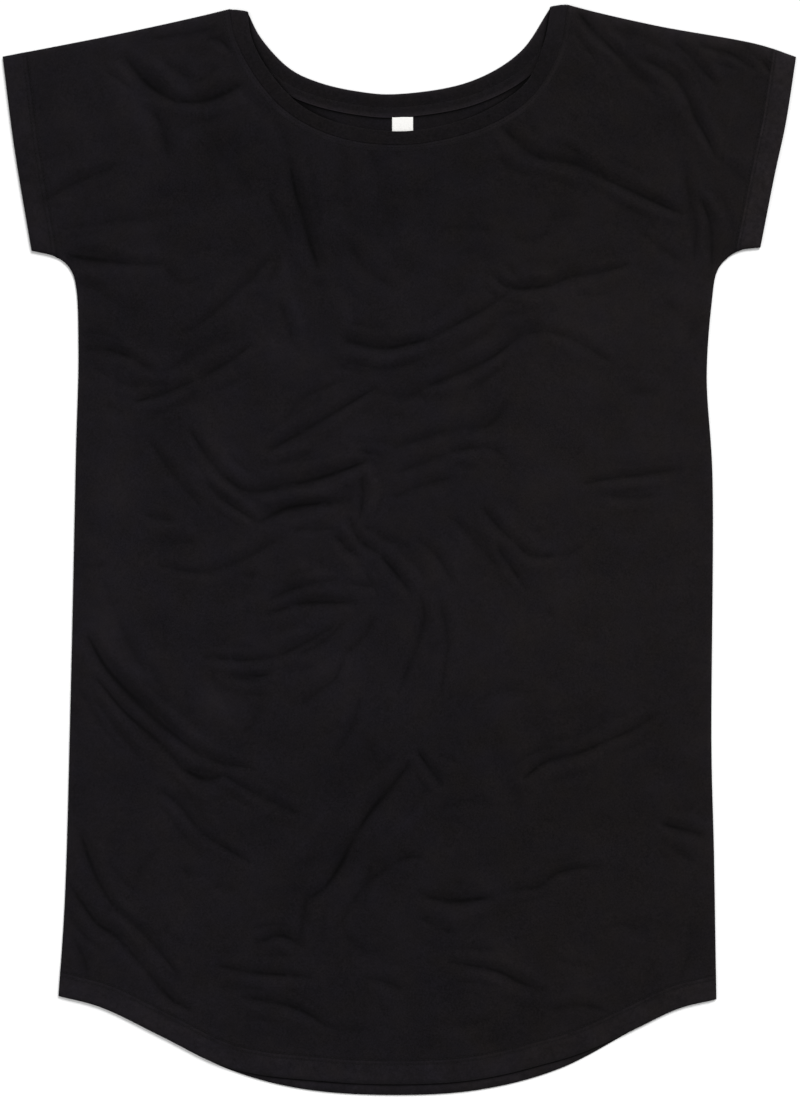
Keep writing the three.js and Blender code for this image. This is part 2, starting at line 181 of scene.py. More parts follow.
def edgeGaps(places, skirt):
    # Distances to the cuffs, to the skirt hem and to the nearest edge of all
    cuff = gapTo([edges["cuffLeft"], edges["cuffRight"]], places)
    hem = nearestOn(skirt, places)[0]
    seams = gapTo([edges[name] for name in ("shoulderLeft", "sideLeft", "sideRight", "shoulderRight")], places)
    return cuff, hem, seams, np.minimum(np.minimum(cuff, hem), seams)


def insideOf(ring, places):
    # True where a ray along +X crosses a closed ring an odd number of times
    a, b = ring, np.roll(ring, -1, axis=0)
    rise = np.where(b[:, 1] == a[:, 1], 1e-9, b[:, 1] - a[:, 1])
    inside = []
    for some in np.array_split(places, max(1, len(places) * len(ring) // 6_000_000)):
        x, y = some[:, :1], some[:, 1:]
        spans = (a[:, 1] > y) != (b[:, 1] > y)
        inside.append((spans & (x < a[:, 0] + (y - a[:, 1]) * (b[:, 0] - a[:, 0]) / rise)).sum(1) % 2 == 1)
    return np.concatenate(inside)


def ripple(places, seed, lengths, count=14):
    # Uneven ripples about 1 high: many sine waves in seeded directions, with wavelengths between two lengths
    draw = np.random.default_rng(seed)
    angle, phase = draw.uniform(0, pi, count), draw.uniform(0, 2 * pi, count)
    wave = 2 * pi / draw.uniform(*lengths, count)
    way = np.stack([np.cos(angle), np.sin(angle)]) * wave
    return np.sin(places @ way + phase).sum(1) * (1.4 / count**0.5) / 1.4


# Mesh making

def meshPiece(name, points, faces, material, marks=None):
    # A smooth mesh object from points in millimetres and arrays of faces; marks are values kept on its points
    mesh = bpy.data.meshes.new(name)
    corners = np.concatenate([part.ravel() for part in faces]).astype(np.int32)
    sizes = np.concatenate([np.full(len(part), part.shape[1]) for part in faces])
    starts = np.concatenate([[0], sizes.cumsum()[:-1]]).astype(np.int32)
    mesh.vertices.add(len(points))
    mesh.vertices.foreach_set("co", (np.asarray(points) * mm).astype(np.float32).ravel())
    mesh.loops.add(len(corners))
    mesh.loops.foreach_set("vertex_index", corners)
    mesh.polygons.add(len(starts))
    mesh.polygons.foreach_set("loop_start", starts)
    mesh.update(calc_edges=True)
    mesh.validate()
    mesh.shade_smooth()
    for mark, values in (marks or {}).items():
        mesh.attributes.new(mark, "FLOAT", "POINT").data.foreach_set("value", values.astype(np.float32))
    mesh.materials.append(material)
    piece = bpy.data.objects.new(name, mesh)
    bpy.context.scene.collection.objects.link(piece)
    print(name, len(points), "points", len(starts), "faces")
    return piece


def gridFaces(rows, columns, closeRows=False, closeColumns=False):
    # Four-sided faces of a rows by columns grid of points, wrapped round where it closes
    r, c = np.meshgrid(np.arange(rows - (not closeRows)), np.arange(columns - (not closeColumns)), indexing="ij")
    r, c = r.ravel(), c.ravel()
    nextR, nextC = (r + 1) % rows, (c + 1) % columns
    return np.stack([r * columns + c, r * columns + nextC, nextR * columns + nextC, nextR * columns + c], 1)


def clothGrid(ring, corners, cell, lines=None):
    # A square grid over an outline: points within half a cell of the edge are set onto it, points near a
    # crease onto its line. Each cell is cut along its shorter diagonal.
    low, high = ring.min(0), ring.max(0)
    columns, rows = np.ceil((high - low) / cell).astype(int) + 2
    i, j = np.meshgrid(np.arange(columns), np.arange(rows))
    place = low + (np.stack([i.ravel(), j.ravel()], 1) - 0.5) * cell
    gap, _, _, onto = nearestOn(np.vstack([ring, ring[:1]]), place)
    onEdge = gap < cell / 2
    kept = onEdge | insideOf(ring, place)
    place = np.where(onEdge[:, None], onto, place)
    edgePoints = np.flatnonzero(onEdge)
    for corner in corners:
        place[edgePoints[np.linalg.norm(place[edgePoints] - corner, axis=1).argmin()]] = corner
    if lines is not None:
        gap, _, onto, _ = nearestCrease(lines, place)
        pulled = kept & ~onEdge & (gap < 0.42 * cell)
        place = np.where(pulled[:, None], onto, place)
    start = (np.arange(rows - 1)[:, None] * columns + np.arange(columns - 1)).ravel()
    cells = start[:, None] + np.array([0, 1, columns + 1, columns])
    count = kept[cells].sum(1)
    threes = cells[count == 3]
    fours = cells[count == 4]
    long = lambda p, q: np.linalg.norm(place[fours[:, p]] - place[fours[:, q]], axis=1)
    short = long(0, 2) < long(1, 3)
    triangles = np.vstack([
        threes[kept[threes]].reshape(-1, 3),
        fours[short][:, [0, 1, 2]], fours[short][:, [0, 2, 3]],
        fours[~short][:, [0, 1, 3]], fours[~short][:, [1, 2, 3]],
    ])
    a, b, c = (place[triangles[:, k]] for k in range(3))
    area = ((b - a)[:, 0] * (c - a)[:, 1] - (c - a)[:, 0] * (b - a)[:, 1]) / 2
    allOnEdge = onEdge[triangles].all(1)
    sound = (area > 0.04 * cell * cell) & insideOf(ring, (a + b + c) / 3)
    triangles = triangles[~allOnEdge | sound]
    used, triangles = np.unique(triangles, return_inverse=True)
    return place[used], triangles.reshape(-1, 3), onEdge[used]


def clothShell(name, triangles, outer, inner, material, marks, innerMarks=None):
    # A closed wall between an outer and an inner face over the same triangles, with a rim round its edges
    count = len(outer)
    a = triangles.ravel()
    b = np.roll(triangles, -1, axis=1).ravel()
    lone = ~np.isin(a.astype(np.int64) * count + b, b.astype(np.int64) * count + a)
    rim = np.stack([b[lone], a[lone], a[lone] + count, b[lone] + count], 1)
    innerMarks = innerMarks or marks
    both = {mark: np.concatenate([marks[mark], innerMarks[mark]]) for mark in marks}
    faces = [triangles, triangles[:, ::-1] + count, rim]
    return meshPiece(name, np.vstack([outer, inner]), faces, material, both)


# Outline of the garment, counterclockwise from the left neck point

edgeRuns = {
    "shoulderLeft": [(-138.5, 443.3), (-163.0, 437.6), (-229.0, 423.2), (-325.5, 404.3)],
    "cuffLeft": [(-325.5, 404.3), (-315.7, 328.7), (-301.7, 244.9)],
    "sideLeft": [
        (-301.7, 244.9), (-281.2, 239.8), (-270.1, 230.3), (-265.5, 217.2), (-263.2, 163.0),
        (-265.2, 81.0), (-269.7, -124.0), (-274.4, -288.0), (-279.6, -367.2),
    ],
    "skirtHem": [
        (-279.6, -367.2), (-245.1, -376.3), (-195.9, -399.9), (-138.5, -428.1), (-81.0, -443.4),
        (-7.3, -448.7), (66.5, -444.3), (132.0, -427.0), (197.7, -392.5), (230.5, -377.2), (260.8, -369.9),
    ],
    "sideRight": [
        (260.8, -369.9), (258.8, -247.0), (256.8, -165.0), (257.6, 60.6), (252.9, 142.6),
        (257.2, 204.1), (260.9, 227.0), (267.3, 236.9), (279.7, 245.2), (296.9, 247.6),
    ],
    "cuffRight": [(296.9, 247.6), (309.0, 309.1), (317.5, 348.4), (326.2, 404.0)],
    "shoulderRight": [(326.2, 404.0), (296.1, 414.2), (214.1, 429.3), (156.7, 442.1), (137.8, 447.0)],
}
neckCurves = {
    "frontSeam": [
        (-138.5, 443.3), (-134.0, 419.8), (-115.0, 384.5), (-88.5, 356.9), (-49.1, 338.2), (0.9, 332.0),
        (50.9, 340.0), (87.0, 355.0), (110.8, 373.7), (130.8, 409.1), (137.8, 447.0),
    ],
    "frontFree": [
        (-124.3, 441.0), (-120.5, 418.1), (-105.2, 390.2), (-80.3, 364.0), (-49.1, 349.6), (0.9, 342.7),
        (44.4, 349.6), (74.7, 361.5), (105.0, 383.5), (119.0, 415.7), (124.7, 445.0),
    ],
    "backSeam": [
        (-138.5, 443.3), (-124.6, 413.9), (-95.3, 384.7), (-68.1, 372.4), (-33.5, 364.7), (-3.2, 362.6),
        (61.9, 373.5), (107.9, 400.1), (137.8, 447.0),
    ],
    "backFree": [
        (-124.3, 441.0), (-113.9, 420.5), (-89.3, 394.3), (-64.7, 382.9), (-31.9, 375.6), (-3.2, 373.6),
        (58.3, 383.9), (99.3, 408.0), (124.7, 445.0),
    ],
}
frontHem = {"rise": 9, "left": -168, "leftFull": -56, "rightFull": 106, "right": 200}
edgeStep = 5.0


def raisedHem(run):
    # The front's hem sits higher than the back's between two places, where the back shows below it
    begins = ramp(run[:, 0], frontHem["left"], frontHem["leftFull"])
    ends = 1 - ramp(run[:, 0], frontHem["rightFull"], frontHem["right"])
    return run + np.stack([np.zeros(len(run)), frontHem["rise"] * begins * ends], 1)


edges = {name: smoothCurve(rows, edgeStep) for name, rows in edgeRuns.items()}
necks = {name: smoothCurve(rows, edgeStep) for name, rows in neckCurves.items()}
frontSkirt = raisedHem(edges["skirtHem"])


def panelRing(neckSeam, skirt):
    # The runs of a panel end to end, and the places where it has a corner
    runs = [skirt if name == "skirtHem" else run for name, run in edges.items()] + [neckSeam[::-1]]
    return np.vstack([run[:-1] for run in runs]), np.array([run[0] for run in runs])


# Creases. Each row: half width, depth (below 0 for a raised fold), and the places that it passes through.

frontCreases = {
    "leftSleeve": [
        (5.0, 2.6, (-224, 403), (-204, 380), (-181, 366)),
        (5.0, 2.6, (-183, 367), (-159, 368), (-130, 381)),
        (6.0, -1.2, (-230, 396), (-220, 372), (-212, 360), (-200, 335)),
        (4.5, -0.9, (-130, 376), (-112, 353), (-93, 327)),
        (4.5, -0.9, (-196, 403), (-186, 389), (-175, 378)),
        (5.2, 1.2, (-200, 358), (-193, 343), (-189, 321)),
        (3.4, 1.5, (-157, 419), (-145, 417), (-137, 407)),
        (3.6, 1.05, (-204, 419), (-163, 425), (-151, 429)),
        (7.0, 0.45, (-159, 345), (-147, 327), (-138, 302)),
        (3.6, 1.05, (-298, 282), (-278, 294), (-253, 306), (-227, 316)),
        (4.0, 0.6, (-311, 304), (-301, 302), (-290, 301)),
        (4.0, 0.6, (-296, 282), (-286, 281), (-278, 282)),
        (4.0, 0.6, (-278, 263), (-237, 268), (-171, 276)),
        (5.0, 2.6, (-271, 241), (-245, 237), (-220, 234)),
        (3.6, 1.05, (-220, 234), (-204, 234), (-192, 234)),
        (4.0, 0.6, (-192, 234), (-179, 218), (-163, 222)),
        (12.0, -0.8, (-291, 271), (-289, 263), (-285, 257)),
        (3.6, 1.05, (-99, 246), (-129, 216), (-162, 186), (-179, 176)),
        (3.6, 1.05, (-132, 211), (-120, 223), (-108, 236)),
        (4.0, 0.6, (-97, 239), (-102, 229), (-107, 217)),
        (1.7, 0.9, (-306, 404), (-302, 380), (-298, 348)),
        (4.0, 0.6, (-258, 222), (-239, 207), (-218, 194)),
        (7.0, 0.45, (-157, 343), (-153, 315), (-145, 282)),
        (7.0, 0.45, (-136, 339), (-132, 319), (-125, 294)),
    ],
    "rightSleeve": [
        (4.8, 1.75, (85, 347), (96, 336), (108, 325), (122, 319)),
        (4.8, 1.75, (117, 320), (145, 316), (167, 305)),
        (3.8, 2.1, (160, 308), (176, 301), (193, 293), (212, 284), (232, 275)),
        (3.8, 2.1, (147, 441), (158, 428), (170, 416), (182, 403)),
        (3.6, 1.05, (179, 407), (192, 392), (202, 382), (213, 370)),
        (3.8, 2.1, (198, 403), (214, 396), (226, 388), (237, 371), (244, 353), (253, 337), (260, 322)),
        (4.0, 0.6, (260, 322), (276, 309), (286, 302)),
        (3.4, 1.5, (226, 417), (239, 405), (262, 380)),
        (2.8, 1.6, (247, 413), (272, 407), (292, 394)),
        (2.8, 1.6, (299, 401), (303, 395), (306, 389)),
        (4.0, 0.6, (181, 427), (194, 423), (206, 419)),
        (3.6, 1.05, (235, 315), (239, 286), (244, 266), (242, 235)),
        (3.8, 2.1, (249, 286), (256, 266), (257, 235)),
        (4.5, -0.9, (252, 294), (258, 286), (262, 273), (265, 257)),
        (4.0, 0.6, (198, 260), (218, 245), (235, 235)),
    ],
    "chest": [
        (7.0, 0.45, (-94, 343), (-92, 331), (-89, 315)),
        (5.0, 2.6, (-89, 314), (-84, 290), (-78, 272), (-73, 252), (-66, 230)),
        (5.2, 1.2, (-41, 250), (-28, 232), (-4, 214)),
        (7.0, 0.45, (-46, 327), (-43, 294), (-38, 263)),
        (7.0, 0.45, (-22, 327), (-13, 290), (-4, 257)),
        (1.6, 0.5, (-11, 329), (-4, 326), (2, 321)),
        (4.0, 0.6, (-69, 218), (-58, 216), (-48, 216)),
        (4.0, 0.6, (34, 263), (58, 263), (79, 261)),
        (4.0, 0.6, (93, 256), (108, 253), (123, 260)),
        (7.0, 0.45, (124, 268), (136, 273), (149, 275)),
        (3.6, 1.05, (-97, 200), (-89, 179), (-88, 171)),
        (3.8, 2.1, (78, 224), (89, 215), (106, 214), (127, 217)),
        (3.4, 1.5, (126, 217), (142, 224), (160, 226), (188, 233)),
        (3.4, 1.5, (24, 172), (50, 186), (75, 200), (91, 211)),
        (4.5, -0.9, (-95, 241), (-88, 212), (-76, 179)),
        (4.5, -0.9, (-107, 179), (-96, 167), (-84, 161)),
        (4.5, -0.9, (-56, 225), (-44, 204), (-40, 184)),
        (12.0, -0.8, (-106, 175), (-100, 170), (-93, 163)),
        (12.0, -0.8, (-81, 179), (-73, 165), (-65, 151)),
        (4.0, 0.6, (218, 204), (224, 199), (231, 196)),
        (4.0, 0.6, (243, 188), (241, 179), (239, 171)),
    ],
    "leftWaist": [
        (3.8, 2.1, (-259, 165), (-239, 164), (-219, 157)),
        (3.6, 1.05, (-219, 157), (-208, 150), (-198, 145)),
        (7.0, 0.45, (-229, 196), (-219, 196), (-208, 198)),
        (3.8, 2.1, (-216, 121), (-192, 128), (-171, 137)),
        (3.4, 1.5, (-163, 140), (-138, 155), (-122, 167)),
        (4.0, 0.6, (-233, 137), (-219, 135), (-204, 134)),
        (4.0, 0.6, (-192, 145), (-163, 163), (-130, 175)),
        (4.0, 0.6, (-188, 116), (-175, 120), (-163, 126)),
        (3.8, 2.1, (-106, 81), (-56, 110), (-20, 132)),
        (3.6, 1.05, (-93, 106), (-81, 122), (-44, 140)),
        (3.4, 1.5, (-171, 97), (-155, 73), (-134, 52), (-118, 46)),
        (4.5, -0.9, (-163, 122), (-145, 96), (-127, 71)),
        (3.6, 1.05, (-204, 89), (-188, 65), (-163, 36)),
        (5.0, 2.6, (-122, 46), (-89, 52), (-56, 61), (-24, 73)),
        (2.8, 1.6, (-159, 56), (-143, 40), (-112, 20)),
        (4.5, -0.9, (-171, 73), (-138, 46), (-116, 31)),
        (5.0, 2.6, (-116, 22), (-89, 34), (-48, 38)),
        (4.5, -0.9, (-179, 126), (-159, 102), (-137, 77)),
        (4.5, -0.9, (-155, 89), (-137, 69), (-117, 56)),
        (4.0, 0.6, (-241, 118), (-233, 115), (-225, 112)),
    ],
    "middleWaist": [
        (5.0, 2.6, (-44, 171), (-11, 165), (27, 173)),
        (3.6, 1.05, (-40, 153), (-11, 148), (17, 155)),
        (4.5, -0.9, (-81, 126), (-44, 147), (-15, 155)),
        (3.8, 2.1, (24, 134), (51, 145), (76, 157), (93, 170)),
        (5.2, 1.2, (93, 170), (103, 177), (120, 179)),
        (3.6, 1.05, (120, 179), (141, 173), (175, 153)),
        (4.0, 0.6, (-20, 129), (1, 125), (26, 126)),
        (3.0, 1.2, (-32, 81), (-24, 79), (-15, 77)),
        (4.0, 0.6, (-36, 89), (-20, 88), (-3, 88)),
        (5.2, 1.2, (-1, 84), (29, 94), (51, 99), (74, 102), (89, 119)),
        (3.6, 1.05, (-1, 63), (23, 72), (43, 80)),
        (3.4, 1.5, (43, 80), (58, 83), (71, 84)),
        (3.6, 1.05, (71, 84), (80, 81), (86, 76)),
        (3.6, 1.05, (-2, 43), (17, 52), (42, 58)),
        (3.6, 1.05, (1, 120), (19, 131), (39, 137)),
        (3.4, 1.5, (-30, 58), (-30, 40), (-32, 24)),
        (3.4, 1.5, (-40, 24), (-32, 7), (-17, -3)),
        (3.4, 1.5, (-52, 11), (-38, -3), (-32, -6)),
        (3.6, 1.05, (-30, 20), (-14, 10), (1, 3)),
        (3.8, 2.1, (-15, -5), (-3, -19), (11, -37)),
        (4.5, -0.9, (-25, 75), (-19, 56), (-19, 32)),
        (4.5, -0.9, (-56, 7), (-40, -9), (-22, -34)),
        (4.5, -0.9, (-81, -9), (-56, -21), (-32, -30)),
        (4.5, -0.9, (-6, 7), (9, -9), (21, -34)),
        (3.6, 1.05, (17, 7), (32, -6), (46, -30)),
        (3.6, 1.05, (34, -42), (40, -75), (35, -116)),
        (4.0, 0.6, (-3, 7), (3, -3), (11, -13)),
        (3.4, 1.5, (69, 34), (83, 17), (96, 5)),
        (4.5, -0.9, (83, 40), (99, 20), (120, 3)),
        (3.6, 1.05, (46, 24), (62, 7), (83, -17)),
        (3.4, 1.5, (96, 5), (108, -5), (129, -6)),
        (4.0, 0.6, (129, -6), (142, -3), (153, 5)),
        (2.8, 1.6, (81, 1), (91, -13), (105, -34)),
        (4.0, 0.6, (120, -50), (124, -53), (128, -57)),
        (7.0, 0.45, (91, 179), (106, 180), (120, 179)),
        (4.0, 0.6, (87, 192), (99, 195), (112, 196)),
        (3.4, 1.5, (149, 53), (173, 58), (198, 61), (231, 66)),
        (3.6, 1.05, (165, 44), (198, 43), (214, 44)),
        (4.0, 0.6, (190, 129), (202, 129), (214, 130)),
    ],
    "leftSkirt": [
        (5.0, 2.6, (-255, -72), (-240, -98), (-206, -134), (-180, -156), (-161, -170)),
        (3.4, 1.5, (-161, -170), (-143, -176), (-122, -179)),
        (3.8, 2.1, (-248, -106), (-225, -134), (-200, -156), (-186, -170), (-175, -184)),
        (5.0, 2.6, (-177, -181), (-158, -189), (-144, -185)),
        (3.4, 1.5, (-144, -185), (-122, -198), (-83, -217)),
        (4.5, -0.9, (-214, -134), (-196, -152), (-181, -165)),
        (6.0, -1.2, (-247, -52), (-225, -87), (-198, -117)),
        (4.5, -0.9, (-192, -124), (-171, -147), (-151, -161)),
        (4.5, -0.9, (-253, -9), (-241, -42), (-225, -75)),
        (4.0, 0.6, (-229, -62), (-216, -87), (-208, -101)),
        (4.0, 0.6, (-204, -99), (-198, -108), (-192, -116)),
        (4.0, 0.6, (-175, -116), (-173, -126), (-171, -136)),
        (3.4, 1.5, (-159, -89), (-122, -91), (-97, -87)),
        (3.4, 1.5, (-97, -87), (-73, -75), (-52, -62)),
        (3.8, 2.1, (-138, -105), (-122, -105), (-106, -103)),
        (3.8, 2.1, (-106, -53), (-81, -45), (-36, -44)),
        (3.4, 1.5, (-107, -42), (-85, -32), (-61, -30)),
        (3.0, 1.2, (-40, -28), (-30, -30), (-20, -30)),
        (3.6, 1.05, (-196, -13), (-163, -19), (-134, -11), (-97, 9)),
        (3.0, 1.2, (-126, -21), (-122, -22), (-118, -21)),
        (3.6, 1.05, (-208, 28), (-196, 25), (-184, 24)),
        (4.0, 0.6, (-208, 7), (-186, 6), (-163, 6)),
        (4.0, 0.6, (-257, -13), (-249, -14), (-241, -13)),
        (3.6, 1.05, (-81, -87), (-61, -75), (-44, -60)),
        (3.6, 1.05, (-44, -87), (-32, -75), (-20, -58)),
        (3.6, 1.05, (-81, -128), (-65, -116), (-52, -106), (-44, -87)),
        (4.5, -0.9, (-107, -75), (-89, -68), (-65, -54)),
        (4.5, -0.9, (-65, -116), (-50, -101), (-38, -81)),
        (4.5, -0.9, (-143, -50), (-126, -42), (-110, -35)),
        (4.5, -0.9, (-163, -99), (-151, -120), (-137, -142)),
        (3.6, 1.05, (-32, -124), (-38, -144), (-52, -169)),
        (4.0, 0.6, (-112, -124), (-118, -140), (-130, -155)),
        (12.0, -0.8, (-71, -88), (-63, -94), (-52, -103)),
        (12.0, -0.8, (-44, -93), (-38, -103), (-32, -114)),
        (12.0, -0.8, (-150, -117), (-147, -126), (-143, -135)),
    ],
    "middleSkirt": [
        (3.6, 1.05, (17, -38), (21, -54), (16, -75), (1, -116)),
        (4.0, 0.6, (26, -85), (31, -80), (38, -76)),
        (5.0, 2.6, (7, -178), (-5, -194), (-22, -214), (-36, -235)),
        (5.0, 2.6, (-36, -235), (-48, -259), (-61, -278), (-76, -288)),
        (3.4, 1.5, (-76, -288), (-79, -308), (-81, -321)),
        (3.8, 2.1, (16, -167), (26, -181), (35, -193)),
        (4.0, 0.6, (-28, -153), (-23, -165), (-17, -177)),
        (4.5, -0.9, (21, -198), (5, -222), (-15, -247)),
        (4.5, -0.9, (-56, -206), (-69, -226), (-81, -247)),
        (4.0, 0.6, (67, -124), (83, -116), (108, -116)),
        (4.0, 0.6, (34, -214), (58, -206), (83, -211)),
        (3.8, 2.1, (103, -188), (120, -175), (149, -167), (169, -158)),
        (3.4, 1.5, (169, -158), (194, -147), (210, -136)),
        (4.0, 0.6, (116, -158), (149, -153), (175, -134)),
        (7.0, 0.45, (95, -194), (96, -203), (97, -214)),
    ],
    "lowerLeft": [
        (3.4, 1.5, (-196, -198), (-184, -206), (-163, -231), (-151, -240), (-122, -257)),
        (3.8, 2.1, (-261, -235), (-248, -270), (-233, -294), (-220, -306)),
        (3.4, 1.5, (-220, -306), (-204, -321), (-181, -349)),
        (3.8, 2.1, (-270, -276), (-247, -308), (-233, -317), (-208, -345)),
        (3.8, 2.1, (-208, -345), (-186, -370), (-171, -378)),
        (3.6, 1.05, (-266, -321), (-257, -341), (-256, -352)),
        (3.8, 2.1, (-147, -342), (-122, -347), (-73, -351)),
        (3.8, 2.1, (-125, -368), (-97, -373), (-77, -380), (-56, -393)),
        (4.0, 0.6, (-56, -393), (-42, -395), (-28, -395)),
        (3.8, 2.1, (-116, -323), (-97, -317), (-79, -326)),
        (4.0, 0.6, (-147, -331), (-138, -331), (-130, -331)),
        (4.0, 0.6, (-179, -263), (-171, -265), (-163, -266)),
        (4.0, 0.6, (-151, -276), (-143, -278), (-134, -280)),
        (4.0, 0.6, (-200, -247), (-212, -263), (-216, -276)),
    ],
    "lowerRight": [
        (3.6, 1.05, (-52, -314), (-40, -294), (-24, -272), (-3, -257)),
        (3.4, 1.5, (-3, -257), (7, -253), (19, -253)),
        (5.0, 2.6, (21, -285), (46, -289), (75, -286)),
        (3.8, 2.1, (42, -339), (67, -343), (85, -348), (98, -355), (116, -362)),
        (3.6, 1.05, (-28, -352), (-11, -355), (5, -362)),
        (3.4, 1.5, (91, -280), (116, -276), (128, -267), (144, -262), (165, -260)),
        (4.0, 0.6, (-48, -308), (-36, -325), (-15, -333)),
        (4.0, 0.6, (-15, -374), (-12, -380), (-9, -385)),
        (3.8, 2.1, (217, -226), (237, -231), (252, -235)),
        (4.0, 0.6, (239, -308), (240, -325), (231, -354)),
        (3.6, 1.05, (124, -378), (149, -374), (173, -380)),
        (4.0, 0.6, (165, -313), (181, -308), (202, -313)),
        (4.0, 0.6, (26, -386), (50, -390), (75, -385)),
        (4.0, 0.6, (132, -337), (144, -340), (157, -341)),
    ],
}
backCreases = {
    "underside": [
        (6.0, 0.9, (-210, 395), (-180, 372), (-130, 372)),
        (5.0, 0.8, (205, 398), (172, 372), (120, 366)),
        (6.0, 0.7, (-262, 250), (-215, 240), (-150, 248)),
        (5.5, 0.9, (262, 262), (225, 240), (160, 232)),
        (6.5, 0.8, (-60, 300), (-20, 286), (45, 296)),
        (5.5, 0.7, (60, 205), (110, 190), (190, 205)),
        (6.0, 0.9, (-205, 150), (-150, 132), (-80, 152)),
        (6.0, 0.8, (-40, 112), (20, 96), (90, 118)),
        (5.0, 0.7, (110, 95), (160, 70), (225, 84)),
        (6.5, 0.9, (-220, 40), (-165, 22), (-90, 44)),
        (6.0, 0.9, (-30, 20), (10, -18), (30, -70)),
        (5.5, 0.7, (90, -10), (140, -40), (215, -36)),
        (6.5, 1.0, (-230, -80), (-190, -130), (-120, -166)),
        (6.0, 0.8, (-60, -100), (-20, -150), (-10, -210)),
        (6.0, 0.9, (70, -120), (120, -160), (210, -170)),
        (5.5, 0.8, (-215, -230), (-170, -280), (-160, -330)),
        (6.5, 0.9, (-80, -260), (-30, -300), (50, -310)),
        (5.5, 0.7, (110, -240), (150, -290), (225, -300)),
        (5.0, 0.6, (-110, -370), (-60, -388), (10, -392)),
    ],
}
# Broad soft areas of painted light and shade, where the front is painted a little lighter or darker: place, reach
# both ways, how much lighter
paintedLightAreas = [
    (-81, 286, 107, 62, -0.16), (42, 300, 74, 45, -0.09), (-188, 171, 57, 49, -0.13), (181, 196, 74, 33, 0.20),
    (178, 90, 95, 110, 0.17), (-81, 160, 30, 24, 0.10), (-89, 56, 98, 49, 0.06), (1, 89, 49, 41, 0.05),
    (120, 52, 25, 21, 0.10), (-243, -42, 25, 84, 0.22), (-143, -128, 25, 17, 0.22), (-52, -103, 29, 30, 0.12),
    (110, -60, 110, 49, 0.13), (66, -185, 90, 41, -0.06), (-60, -216, 98, 66, -0.15), (132, -247, 115, 74, -0.06),
    (42, -378, 148, 41, -0.10), (157, -358, 33, 21, 0.10), (-171, -280, 49, 49, 0.04), (-204, -222, 33, 40, 0.03),
    (-220, 368, 15, 37, 0.16), (-60, -330, 90, 50, -0.08), (-56, -9, 49, 49, 0.05), (-126, 204, 20, 25, 0.14),
    (0, 205, 60, 20, 0.10), (170, 345, 50, 40, -0.07), (-160, 345, 60, 50, -0.10), (-240, 90, 25, 60, 0.18),
    (250, 60, 22, 220, 0.12), (-215, -370, 40, 40, 0.14), (-30, 190, 60, 22, -0.08), (120, 330, 90, 60, -0.05),
]
creaseForm = {
    "fine": 0.74,  # share of the depth in the narrow trough, the rest in one twice as wide
    "ridge": 0.50,  # height of the swell beside it, as a share of the depth
    "ridgeAway": 2.4,
    "ridgeReach": 1.2,
    "lean": 0.35,  # how much taller one swell is than the other
    "fadeIn": 0.15,
    "fadeOut": 0.80,
    "overrun": 0.12,
    "crestHighlight": 0.20,  # painted highlight: how much lighter the crest of a raised fold is, for each millimetre of its height
}


def creaseLine(run, half, deep, draw):
    return {
        "half": half, "deep": deep, "run": run, "lean": creaseForm["lean"] * draw.choice([-1, 1]),
        "beat": draw.uniform(0.6, 1.7), "start": draw.uniform(0, 2 * pi), "fullest": draw.uniform(0.3, 0.7),
    }


def creaseLines(creases):
    # The rows with their centre lines worked out; a deep one has a short faint wrinkle on each side of it
    draw = np.random.default_rng(5)
    lines = []
    for half, deep, *places in (row for rows in creases.values() for row in rows):
        run = smoothCurve(places, 4.0)
        lines.append(creaseLine(run, half, deep, draw))
        for side in (-1, 1) if deep > 1.4 and len(run) > 8 else ():
            begin = draw.uniform(-0.1, 0.5)
            part = alongRun(run, np.linspace(max(begin, 0), min(begin + draw.uniform(0.35, 0.6), 1), len(run)))
            part = evenRun(part, 4.0)
            away = half * draw.uniform(3.0, 4.8) * np.linspace(1, draw.uniform(0.6, 1.6), len(part))
            part = part + side * away[:, None] * runSides(part)[1]
            lines.append(creaseLine(part, half * draw.uniform(0.5, 0.8), deep * draw.uniform(0.2, 0.38), draw))
    return lines


def creaseFade(line, share):
    # Full along the middle of its line and faded at both ends, with an uneven swell on the way
    starts = ramp(share, -creaseForm["overrun"], creaseForm["fadeIn"])
    ends = 1 - ramp(share, creaseForm["fadeOut"], 1 + creaseForm["overrun"])
    return starts * ends * (0.88 + 0.2 * np.sin(2 * pi * line["beat"] * share + line["start"]))


def creaseWide(line, share):
    # Its half width: widest at one place, narrower towards both ends
    return line["half"] * (0.62 + 0.5 * bell((share - line["fullest"]) / 0.34))


def creaseHeight(lines, places):
    # Sum of the folds: a narrow trough in a wider one, with a soft swell on each side, one taller
    height = np.zeros(len(places))
    for line in lines:
        margin = 5.5 * line["half"]
        low, high = line["run"].min(0) - margin, line["run"].max(0) + margin
        near = np.flatnonzero(((places > low) & (places < high)).all(1))
        if len(near) == 0:
            continue
        gap, share, side, _ = nearestOn(line["run"], places[near])
        u = gap / creaseWide(line, share)
        trough = creaseForm["fine"] * bell(u) + (1 - creaseForm["fine"]) * bell(u / 2.0)
        swell = bell((u - creaseForm["ridgeAway"]) / creaseForm["ridgeReach"]) * (1 + line["lean"] * side)
        if line["deep"] < 0:
            shape = -bell(u / 1.4)
        else:
            shape = trough - creaseForm["ridge"] * swell
        height[near] -= line["deep"] * creaseFade(line, share) * shape
    return height


